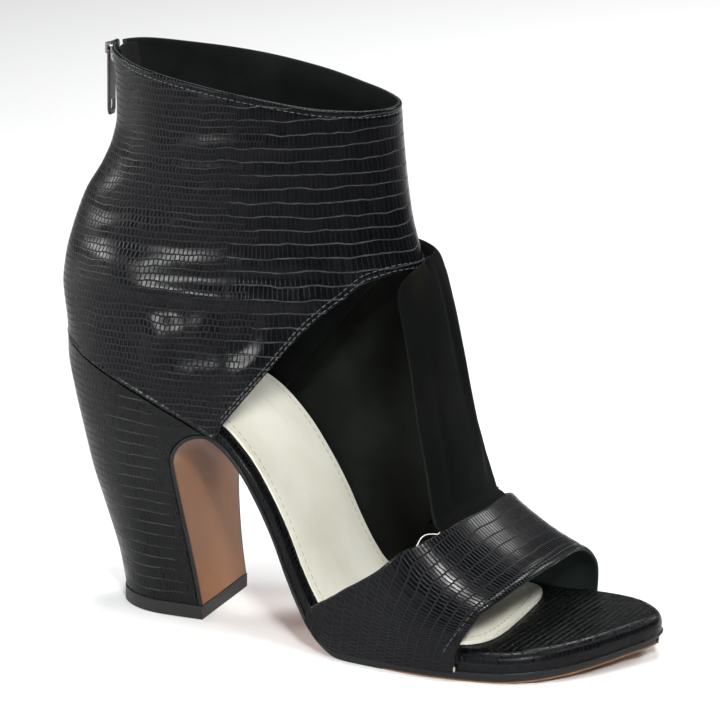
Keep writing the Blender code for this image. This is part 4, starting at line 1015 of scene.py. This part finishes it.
def under_strap(across, tuck):
    """Points under the toe strap, a tuck's length in from its rear edge."""
    x = from_back(through(STRAP_EDGES, across)) + tuck
    along = arch(x + 0.0005, across) - arch(x - 0.0005, across)
    over = arch(x, across + 0.002) - arch(x, across - 0.002)
    normal = unit(np.cross(over, along))
    centre = np.array([from_back(0.60), STRAP_SKEW, STRAP_CROWN * 0.3])
    point = arch(x, across)
    return point + turned(normal, centre - point) * (STRAP_WALL + WALL_ROOM)


def beside_cuff(seat, x):
    """Y of the sole's inner side at an x, moved out over the cuff's wall where
    the cuff stands inside it."""
    over = 1 - ease(x, CUFF_CORNER + 0.001, CUFF_CORNER + 0.009)
    return seat.inner(x) + (CUFF_WALL + GAP) * over


def panel_feet(rows, seat):
    """Where each section of the panel ends, on the sole or on the cuff, and
    the point above it where the section starts to curve over the foot."""
    at = np.linspace(0.0, 1.0, len(PANEL))
    last = int(np.argmin(PANEL[:, 5] > 0))
    end = at[last - 1]
    on_sole = rows <= end + 1e-9
    x = from_back(through(np.stack([at[:last], PANEL[:last, 5]], axis=1), np.minimum(rows, end)))
    low = xyz(x, beside_cuff(seat, x), feather(x) + GAP / 2)
    turns = np.stack([np.concatenate([[end], at[last:]]),
                      np.concatenate([[CORNER_TURN], PANEL[last:, 6]])], axis=1)
    turn = -np.radians(through(turns, np.maximum(rows, end)))
    lift = 0.008 * ease(rows, end - 0.06, end + 0.08)
    high = oval(turn, cuff_edge(turn) + lift)
    foot = np.where(on_sole[:, None], low, high)
    x = foot[:, 0]
    z, nx, nz = side_line(x)
    climb = (board_top(x + nx * 0.005) - z - nz * 0.005) * nz
    raised = 0.005 + climb + 0.0012
    lean = x + nx * raised + 0.0020 * (1 - ease(rows, 0.0, 0.12))
    side = xyz(lean, beside_cuff(seat, lean), z + nz * raised)
    side = np.where(on_sole[:, None], side, foot + np.array([0.0, 0.0, 0.0005]))
    return foot, side, on_sole


def make_panel():
    """The suede instep panel: sections that fan from the sole's inner edge over the instep to a
    free edge, with listed folds laid on."""
    rows = np.concatenate([[0.0], np.linspace(1 / 21, 1.0, 70)])
    table = np.column_stack([np.linspace(0.0, 1.0, len(PANEL)), PANEL])
    crown = xyz(from_back(through(table, rows, 1)), STRAP_SKEW,
                through(table, rows, 2) * INSTEP_HEIGHT)
    edge = xyz(from_back(through(table, rows, 3)), through(table, rows, 4) * BALL_WIDTH,
               through(table, rows, 5) * INSTEP_HEIGHT)
    seat = Outline(PANEL_WALL + WALL_ROOM)
    foot, side, on_sole = panel_feet(rows, seat)
    places = np.concatenate([np.linspace(-1.0, 0.0, 31)[:-1], np.linspace(0.0, 1.0, 50)])
    arc = math.radians(PANEL_ARC)
    out_turn = np.abs(np.minimum(places, 0.0)) * arc
    wide = np.sin(out_turn) / math.sin(arc)
    deep = (1 - np.cos(out_turn)) / (1 - math.cos(arc))
    near = crown[:, None] + (edge - crown)[:, None] * xyz(deep, wide, deep)[None]
    in_turn = np.maximum(places, 0.0) * math.pi / 2
    wide = np.sin(in_turn) ** 0.8
    deep = 1 - np.maximum(np.cos(in_turn), 0.0) ** 0.8
    far = crown[:, None] + (side - crown)[:, None] * xyz(deep, wide, deep)[None]
    grid = np.where((places < 0)[None, :, None], near, far)
    outer = np.concatenate([grid, foot[:, None]], axis=1)
    spots = np.append(places, 1.0)
    across = np.interp(spots, (-1.0, 0.0, 1.0), (0.275, 0.5, 1.0))
    butt = ease(across, 0.925, 0.965)
    low = under_strap(across, TUCK * (1 - butt) - GAP * 4 * butt)
    next_up = under_strap(across, -TUCK * 0.35 - GAP * 3)
    hold = outer[1].copy()
    outer += (next_up - hold)[None] * (1 - ease(rows, rows[1], 0.30))[:, None, None]
    outer[0] = low
    outer[1] = next_up
    outer[:, -1] = np.where(on_sole[:, None], foot, outer[:, -1])
    outer[:, -2] = np.where(on_sole[:, None], side, outer[:, -2])
    outer = clear_of_cuff(outer, PANEL_WALL + 0.0020)
    centre = np.array([from_back(0.45), 0.0, INSTEP_HEIGHT * 0.55])
    out = faced(outer, centre)
    fold = np.zeros(outer.shape[:2])
    for up, over, long, width, depth in PANEL_FOLDS:
        fold += depth * np.exp(-((rows[:, None] - up) / long) ** 2
                               - ((spots[None] - over) / width) ** 2)
    calm = ease(rows, 0.06, 0.14)[:, None] * (1 - ease(spots, 0.80, 0.95))[None]
    shift = out * (fold * calm)[..., None]
    inner = outer - out * PANEL_WALL
    inner[on_sole, -1, ::2] = outer[on_sole, -1, ::2]
    outer, inner = outer + shift, inner + shift
    # First map value: painted light on the upper near part of the outer face
    painted_light_band = bump_at(spots[None], -0.58, 0.30) * bump_at(rows[:, None], 0.86, 0.30) * 0.55
    rim = (1 - ease(spots[None] + 1.0, 0.0, 0.05)) * 0.15
    zone = pair_map(painted_light_band, rim + ease(rows, 0.975, 1.0)[:, None] * 0.6)
    make_wall("instep_suede", outer, inner, [SUEDE, SUEDE_INSIDE, SUEDE_EDGE],
              "instep_panel", [("zone", zone)])


def board_rings(count):
    """Rings of the covered board: straight sides, then a round shoulder whose
    inset and drop follow a quarter oval, up to the flat top."""
    turn = np.linspace(0.0, math.pi / 2, 9)
    rings = []
    shapes = [(0.0, 0.0), (0.0, 0.35), (0.0, 0.7)] + [(1 - math.cos(t), None) for t in turn]
    for inset, rise in shapes:
        outline = Outline(-inset * EDGE_ROUND)
        x = stations(outline.back, outline.tip, count)
        toe = ease(share_of(x), 0.60, 0.78)
        fall = EDGE_DROP + (TOE_EDGE_DROP - EDGE_DROP) * toe
        top = board_top(x)
        if rise is None:
            bend = math.sqrt(max(1 - (1 - inset) ** 2, 0.0))
            z = top - fall * (1 - bend)
        else:
            z = feather(x) + (top - fall - feather(x)) * rise
        rings.append(np.vstack([xyz(x, side(x), z) for side in (outline.outer, outline.inner)]))
    return np.stack(rings)


def make_board():
    """The covered board and platform. Its edge carries its own map, with the
    distance along the edge and the way up and over it."""
    rings = board_rings(170)
    half = rings.shape[1] // 2
    along = np.concatenate([run_length(rings[3, :half]), run_length(rings[3, half:]) + 0.5])
    over = np.cumsum(np.concatenate([np.zeros((1, rings.shape[1])),
                                     np.linalg.norm(np.diff(rings, axis=0), axis=2)]), axis=0)
    edge = pair_map(along, over) * TO_MM
    toe = ease(share_of(rings[..., 0]), 0.70, 0.76)
    across = pair_map(rings[..., 1], rings[..., 0] - 0.15 * rings[..., 1]) * TO_MM
    low = rings[:SIDE_RINGS]
    centre, half_width, lift = EDGE_RIDGE
    ridge = bump_at(over[:SIDE_RINGS], centre, half_width) * lift
    ridge = ridge * ease(share_of(low[..., 0]), 0.60, 0.72)
    sideways = low - low.mean(axis=1, keepdims=True)
    sideways[..., 2] = 0.0
    low += unit(sideways) * ridge[..., None]
    on_top = (np.arange(len(rings)) > 6)[:, None, None] & (toe > 0.5)[..., None]
    scales = np.where(on_top, across, edge)
    make_slab("board_cover", rings, [RAND_SKIN, TOE_SKIN, EDGE_INK],
              "platform_board", [("scales", scales), ("zone", pair_map(0.8 * toe, toe))], 1, 2)


def make_sock():
    """The cream insole with a rounded rim, and its row of stitches inside."""
    top = Outline(-EDGE_ROUND)
    walled = Outline(-SOCK_WALL_GAP)

    def sock_sides(inset):
        """X and both sides of the sock, drawn in by an inset."""
        outline = Outline(-EDGE_ROUND - SOCK_INSET - inset)
        front = SOCK_FRONT - inset
        shared = stations(top.back, top.tip, 190)
        shared = shared[(shared > outline.back + 0.0006) & (shared < front - 0.008)]
        ends = front - np.array([0.0070, 0.0055, 0.0040, 0.0027, 0.0016, 0.0008, 0.0002, 0.0])
        x = np.concatenate([[outline.back], shared, ends])
        taper = (1 - np.clip((x - front + SOCK_ROUND) / SOCK_ROUND, 0.0, 1.0) ** 4) ** 0.25
        along = share_of(x)
        shut = ease(along, 0.0, 0.10) * (1 - ease(along, 0.62, 0.74))
        outer, inner = outline.outer(x), outline.inner(x)
        inner = inner + (walled.inner(x) - inset - inner) * shut
        middle = (outer + inner) / 2
        return x, middle + (outer - middle) * taper, middle + (inner - middle) * taper

    rings = []
    x, outer, inner = sock_sides(0.0)
    middle = (outer + inner) / 2
    width = np.maximum(inner - outer, 1e-9)
    for inset, share in ((0.0, 0.0), (0.0, 0.6), (0.00025, 0.9), (0.0006, 1.0)):
        stay = 1 - np.minimum(2 * inset / width, 1.0)
        z = board_top(x) + (GAP + SOCK * share)
        rings.append(np.vstack([xyz(x, middle + (y - middle) * stay, z) for y in (outer, inner)]))
    make_slab("insole_leather", np.stack(rings), [SOCK_CREAM], "insole_sock", [])
    x, outer, inner = (values[2:] for values in sock_sides(SOCK_LINE))
    x, y = np.append(x, x[::-1]), np.append(outer, inner[::-1])
    line = xyz(x, y, board_top(x) + GAP + SOCK)
    slope = (board_top(x + 0.0005) - board_top(x - 0.0005)) / 0.001
    make_stitches("insole_stitches", line, xyz(-slope, 0.0, 1.0), SOCK_STITCH, CREAM_THREAD)


def breast_x(z):
    """X of the breast leather's face at a height, below its bend."""
    share = np.clip(z / BREAST_TOP, 0.0, 1.0)
    return HEEL_BASE_LENGTH - HEEL_BASE_BACK - BREAST_LEAN * (1.45 * share - 0.45 * share ** 2)


def sole_path():
    """Side view of the outsole, down the breast and along the shank: its lower
    face, its upper face and how many points lie before the shank."""
    low = np.linspace(HEEL_TIP + GAP, BREAST_TOP, 24)
    face = np.stack([breast_x(low), low], axis=1)
    x = stations(from_back(0.0), from_back(1.0) - SOLE_INSET, 200)
    x = x[x > SHANK_START]
    z, nx, nz = side_line(x)
    thick = SHANK_SOLE + (OUTSOLE - SHANK_SOLE) * ease(share_of(x), 0.48, 0.56)
    under = np.stack([x - nx * (thick + GAP), z - nz * (thick + GAP)], axis=1)
    under[(share_of(x) > 0.562) & (share_of(x) < 0.794), 1] = 0.0
    step = (breast_x(BREAST_TOP) - breast_x(BREAST_TOP * 0.86)) / (BREAST_TOP * 0.14)
    reach = (BREAST_TOP - HEEL_TIP) / 7
    first = face[-1] + np.array([step * reach, reach])
    away = under[0] - under[1]
    second = under[0] + unit(away) * 0.0065
    t = np.linspace(0.0, 1.0, 26)[1:-1, None]
    bend = ((1 - t) ** 3 * face[-1] + 3 * (1 - t) ** 2 * t * first + 3 * (1 - t) * t ** 2 * second
            + t ** 3 * under[0])
    lower = np.vstack([face, bend, under])
    along = unit(np.gradient(lower, axis=0))
    normal = np.stack([-along[:, 1], along[:, 0]], axis=1)
    before = len(face) + len(bend)
    normal[before:] = np.stack([nx, nz], axis=1)
    normal[0] = (-1.0, 0.0)
    wall = np.concatenate([np.full(before, SHANK_SOLE), thick])
    return lower, lower + normal * wall[:, None], normal, before


def heel_ways(share):
    """Back of the heel block, and the share of the way out, at a height."""
    outline = Outline(CUFF_WALL + GAP)
    back = -HEEL_BASE_BACK + (outline.back + HEEL_BASE_BACK) * through(HEEL, share)
    return back, through(HEEL, share, 2)


def make_heel():
    """The covered heel: level rings from the tip to the seat, each a round back
    and straight sides that stop at the breast leather."""
    outline = Outline(CUFF_WALL + GAP)
    _, upper, normal, before = sole_path()
    seat = upper + normal * GAP * 1.5
    peak = int(np.argmax(seat[:before + 3, 1]))
    ahead = np.linspace(0.0, 1.0, 500) * SHOE_LENGTH * 0.3
    share = 1 - np.cos(np.linspace(0.0, math.pi / 2, 44))
    bottom = HEEL_TIP + GAP
    face_z = np.concatenate([seat[:peak + 1, 1], [seat[peak, 1] + GAP]])
    face_x = np.concatenate([seat[:peak + 1, 0], [seat[peak, 0] + 0.0012]])
    rings = []
    for level in np.sin(np.linspace(0.0, math.pi / 2, 46)) ** 0.9:
        back, width_way = heel_ways(level)
        z_front = bottom + (feather(ahead) - GAP - bottom) * level
        reach = np.interp(z_front, face_z, face_x) - ahead
        front = float(np.interp(0.0, -reach, ahead))
        x = back + (front - back) * share
        height = bottom + (feather(x) - GAP - bottom) * level
        round_in = np.sqrt(1 - (1 - np.minimum(share / HEEL_ROUND, 1.0)) ** 2)
        base_y = HEEL_BASE_WIDTH / 2 * round_in
        outer = -base_y + (outline.outer(x) + base_y) * width_way
        inner = base_y + (outline.inner(x) - base_y) * width_way
        rings.append(np.vstack([xyz(x, y, height) for y in (outer, inner)]))
    rings = np.stack(rings)
    half = rings.shape[1] // 2
    along = np.concatenate([-run_length(rings[12, :half]), run_length(rings[12, half:])])
    scales = pair_map(along, rings[..., 2]) * TO_MM
    zone = pair_map(bump_at(rings[..., 0], -0.006, 0.020), 0.0)
    make_slab("heel_cover", rings, [HEEL_SKIN], "heel_block",
              [("scales", scales), ("zone", zone)])


def make_outsole():
    """The leather sole as a strip carried along its side view: a tan face with
    inked sides and a narrow inked margin on the breast."""
    lower, upper, _, before = sole_path()
    wide, thin, seat = Outline(GAP), Outline(-SOLE_INSET), Outline(CUFF_WALL + GAP)
    at = np.clip(lower[:, 0], thin.back, thin.tip)
    along = share_of(lower[:, 0])
    full = ease(along, 0.42, 0.54) * (1 - ease(along, 0.90, 0.97))
    climb = 1 - ease(np.arange(len(lower)), before - 14, before + 10)
    share = np.clip((lower[:, 1] - HEEL_TIP) / (feather(at) - HEEL_TIP), 0, 1)
    base = HEEL_BASE_WIDTH / 2
    widen = heel_ways(share)[1]
    sides = []
    for start, end, heel in (
            (thin.outer(at), wide.outer(at), -base + (seat.outer(at) + base) * widen),
            (thin.inner(at), wide.inner(at), base + (seat.inner(at) - base) * widen)):
        line = start + (end - start) * full
        sides.append(line * (1 - climb) + heel * climb)
    outer, inner = sides
    margin = np.minimum(0.0010, (inner - outer) / 2 * 0.4)
    chamfer = lower + (upper - lower) * 0.2
    drawn_in = ((upper, 0.0), (chamfer, 0.0), (lower, 0.00025), (lower, margin))
    ring = [xyz(line[:, 0], outer + inset, line[:, 1]) for line, inset in drawn_in]
    ring += [xyz(line[:, 0], inner - inset, line[:, 1]) for line, inset in drawn_in[::-1]]
    grid = np.stack(ring, axis=1)
    count, size = grid.shape[:2]
    inked = np.ones((count - 1, size), int)
    inked[:, 3] = 0
    inked[before + 60:, 1:6] = 0
    caps = []
    for base in (0, (count - 1) * size):
        caps += [[base, base + 1, base + 6, base + 7], [base + 1, base + 2, base + 5, base + 6],
                 [base + 2, base + 3, base + 4, base + 5]]
    faces = np.vstack([loop_faces(count, size), caps])
    kinds = np.concatenate([inked.ravel(), np.ones(6, int)])
    make_piece("sole_leather", grid.reshape(-1, 3), faces, [SOLE_TAN, EDGE_INK],
               "outsole", (), kinds, 40)


def make_teeth():
    """The zip's teeth: small blocks that lie to the left and right by turns, at
    even steps up the cuff's back line."""
    back = cuff_surface()[1][:, -1]
    z = np.arange(ZIP_END + 0.001, CHAIN_TOP, TOOTH_PITCH)
    x = np.interp(z, back[:, 2], back[:, 0]) + CUFF_WALL + TEETH_IN
    side = np.where(np.arange(len(z)) % 2 == 0, 1.0, -1.0)
    corner = np.array([(a, b, c) for a in (-1, 1) for b in (-1, 1) for c in (-1, 1)], float)
    points = xyz(x, side * TOOTH_SIDE, z)[:, None] + corner[None] * np.array(TOOTH_HALVES)
    faces = np.array([(0, 1, 3, 2), (4, 6, 7, 5), (0, 4, 5, 1), (2, 3, 7, 6), (0, 2, 6, 4),
                      (1, 5, 7, 3)])
    every = (faces[None] + (np.arange(len(z)) * 8)[:, None, None]).reshape(-1, 4)
    make_piece("zip_teeth", points.reshape(-1, 3), every, [TOOTH_METAL],
               "zip_chain", smooth=30)


def make_tube(name, line, radius, finish, toward=(0.0, 0.0, 1.0)):
    """A thin round strand: a circle of eight points carried along a line and
    drawn in at both ends. The line never runs the way that toward points."""
    tangent = unit(np.gradient(line, axis=0))
    side = unit(np.cross(tangent, toward))
    up = np.cross(side, tangent)
    turn = np.arange(8) * math.pi / 4
    taper = np.ones(len(line))
    taper[[0, -1]] = 0.35
    reach = (radius * taper)[:, None, None]
    points = line[:, None] + reach * (np.cos(turn)[None, :, None] * side[:, None]
                                      + np.sin(turn)[None, :, None] * up[:, None])
    last = (len(line) - 1) * 8
    ends = [list(range(7, -1, -1)), list(range(last, last + 8))]
    make_piece(name, points.reshape(-1, 3), loop_faces(len(line), 8).tolist() + ends, [finish],
               None, smooth=80)


def make_trim():
    """The rolled line between upper and sole, a pale strand along the strap's rear edge that is a
    painted highlight, and the cut end at the strap's foot."""
    outline = Outline(0.0002)
    x = stations(from_back(0.31), outline.tip - 0.0001, 260)
    outer = xyz(x, outline.outer(x), feather(x) + 0.0001)
    inner = xyz(x, outline.inner(x), feather(x) + 0.0001)
    make_tube("sole_welt", np.vstack([outer, inner[::-1][1:]]), 0.00042, EDGE_INK)
    # Pale strand along the strap's rear edge: a painted highlight
    across = np.linspace(0.176, 0.262, 24)
    rise = np.sin(np.linspace(0.0, math.pi, 24)) * 0.0017
    rear = from_back(through(STRAP_EDGES, across))
    line = arch(rear - rise + 0.0003, across)
    line[:, 2] -= 0.0006
    make_tube("painted_edge_highlight", line, 0.00020, PAINTED_EDGE_HIGHLIGHT)
    foot = from_back(0.7385)
    seat = Outline(STRAP_WALL + WALL_ROOM)
    z = np.linspace(0.0036, 0.0056, 5)
    line = xyz(foot + 0.0006, float(seat.outer(foot)) + 0.0004, z)
    make_tube("strap_end", line, 0.00038, CREAM_THREAD, (1.0, 0.0, 0.0))


def paint(mesh, finish):
    """Gives a mesh one finish in place of its own."""
    mesh.materials.clear()
    mesh.materials.append(finish)


def polished(node, name, finish, width, body):
    """A copy of a solid with its flat faces made whole and its edges rounded."""
    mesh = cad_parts[node].data.copy()
    work = bmesh.new()
    work.from_mesh(mesh)
    bmesh.ops.remove_doubles(work, verts=work.verts, dist=1e-6)
    bmesh.ops.dissolve_limit(work, angle_limit=math.radians(2), verts=work.verts,
                             edges=work.edges)
    work.to_mesh(mesh)
    work.free()
    paint(mesh, finish)
    piece = add_piece(name, mesh, node, body)
    bevel = piece.modifiers.new("rounded", "BEVEL")
    bevel.width = width
    bevel.segments = 2
    bevel.limit_method = "ANGLE"
    bevel.angle_limit = math.radians(25)


def facing(away):
    """The turn of a light or camera whose back is towards a direction."""
    return away.to_track_quat("Z", "Y").to_matrix().to_4x4()


def make_light(name, place, aim, size, power, spread):
    """A soft square light that faces a point, with a beam of that many degrees."""
    data = bpy.data.lights.new(name, "AREA")
    data.shape = "RECTANGLE"
    data.size, data.size_y = size
    data.energy = power
    data.spread = math.radians(spread)
    light = add_object(name, data)
    away = Vector(place) - Vector(aim)
    light.matrix_world = Matrix.Translation(place) @ facing(away)


def make_studio():
    """A pale floor, an even pale surround, soft lights and the camera."""
    scene = bpy.context.scene
    scene.view_settings.view_transform = "Standard"
    mesh = bpy.data.meshes.new("floor")
    corners = [(x * FLOOR_HALF, y * FLOOR_HALF, -FLOOR_DROP)
               for x, y in ((-1, -1), (1, -1), (1, 1), (-1, 1))]
    mesh.from_pydata(corners, [], [(0, 1, 2, 3)])
    floor = add_object("floor", mesh)
    mesh.materials.append(plain("floor_paper", (0.92, 0.92, 0.92), 0.9, 0.0, 3.0, 0.0, 0.0))
    world = bpy.data.worlds.new("surround")
    world.use_nodes = True
    back = world.node_tree.nodes["Background"]
    back.inputs["Color"].default_value = SURROUND
    back.inputs["Strength"].default_value = SURROUND_STRENGTH
    scene.world = world
    for row in LIGHTS:
        make_light(*row)
    turn, rise = math.radians(VIEW_TURN), math.radians(VIEW_RISE)
    away = Vector((math.sin(turn) * math.cos(rise), -math.cos(turn) * math.cos(rise),
                   math.sin(rise)))
    data = bpy.data.cameras.new("camera")
    data.sensor_width = 36.0
    data.lens = VIEW_LENS
    data.shift_x = 1 / PICTURE_WIDTH
    data.shift_y = -3 / PICTURE_WIDTH
    camera = add_object("camera", data)
    camera.matrix_world = (Matrix.Translation(Vector(VIEW_AIM) + away * VIEW_DISTANCE)
                           @ facing(away) @ Matrix.Rotation(math.radians(VIEW_ROLL), 4, "Z"))
    scene.camera = camera


make_cuff()
make_strap()
make_panel()
make_board()
make_sock()
make_heel()
make_outsole()
make_teeth()
make_trim()
polished("zip_slider", "slider_body", ZIP_METAL, 0.00025, "shoe")
polished("zip_pull", "pull_tab", TOOTH_METAL, 0.00022, "pull")
paint(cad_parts["heel_tip"].data, TIP_RUBBER)
paint(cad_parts["zip_tape"].data, ZIP_CLOTH)
make_studio()
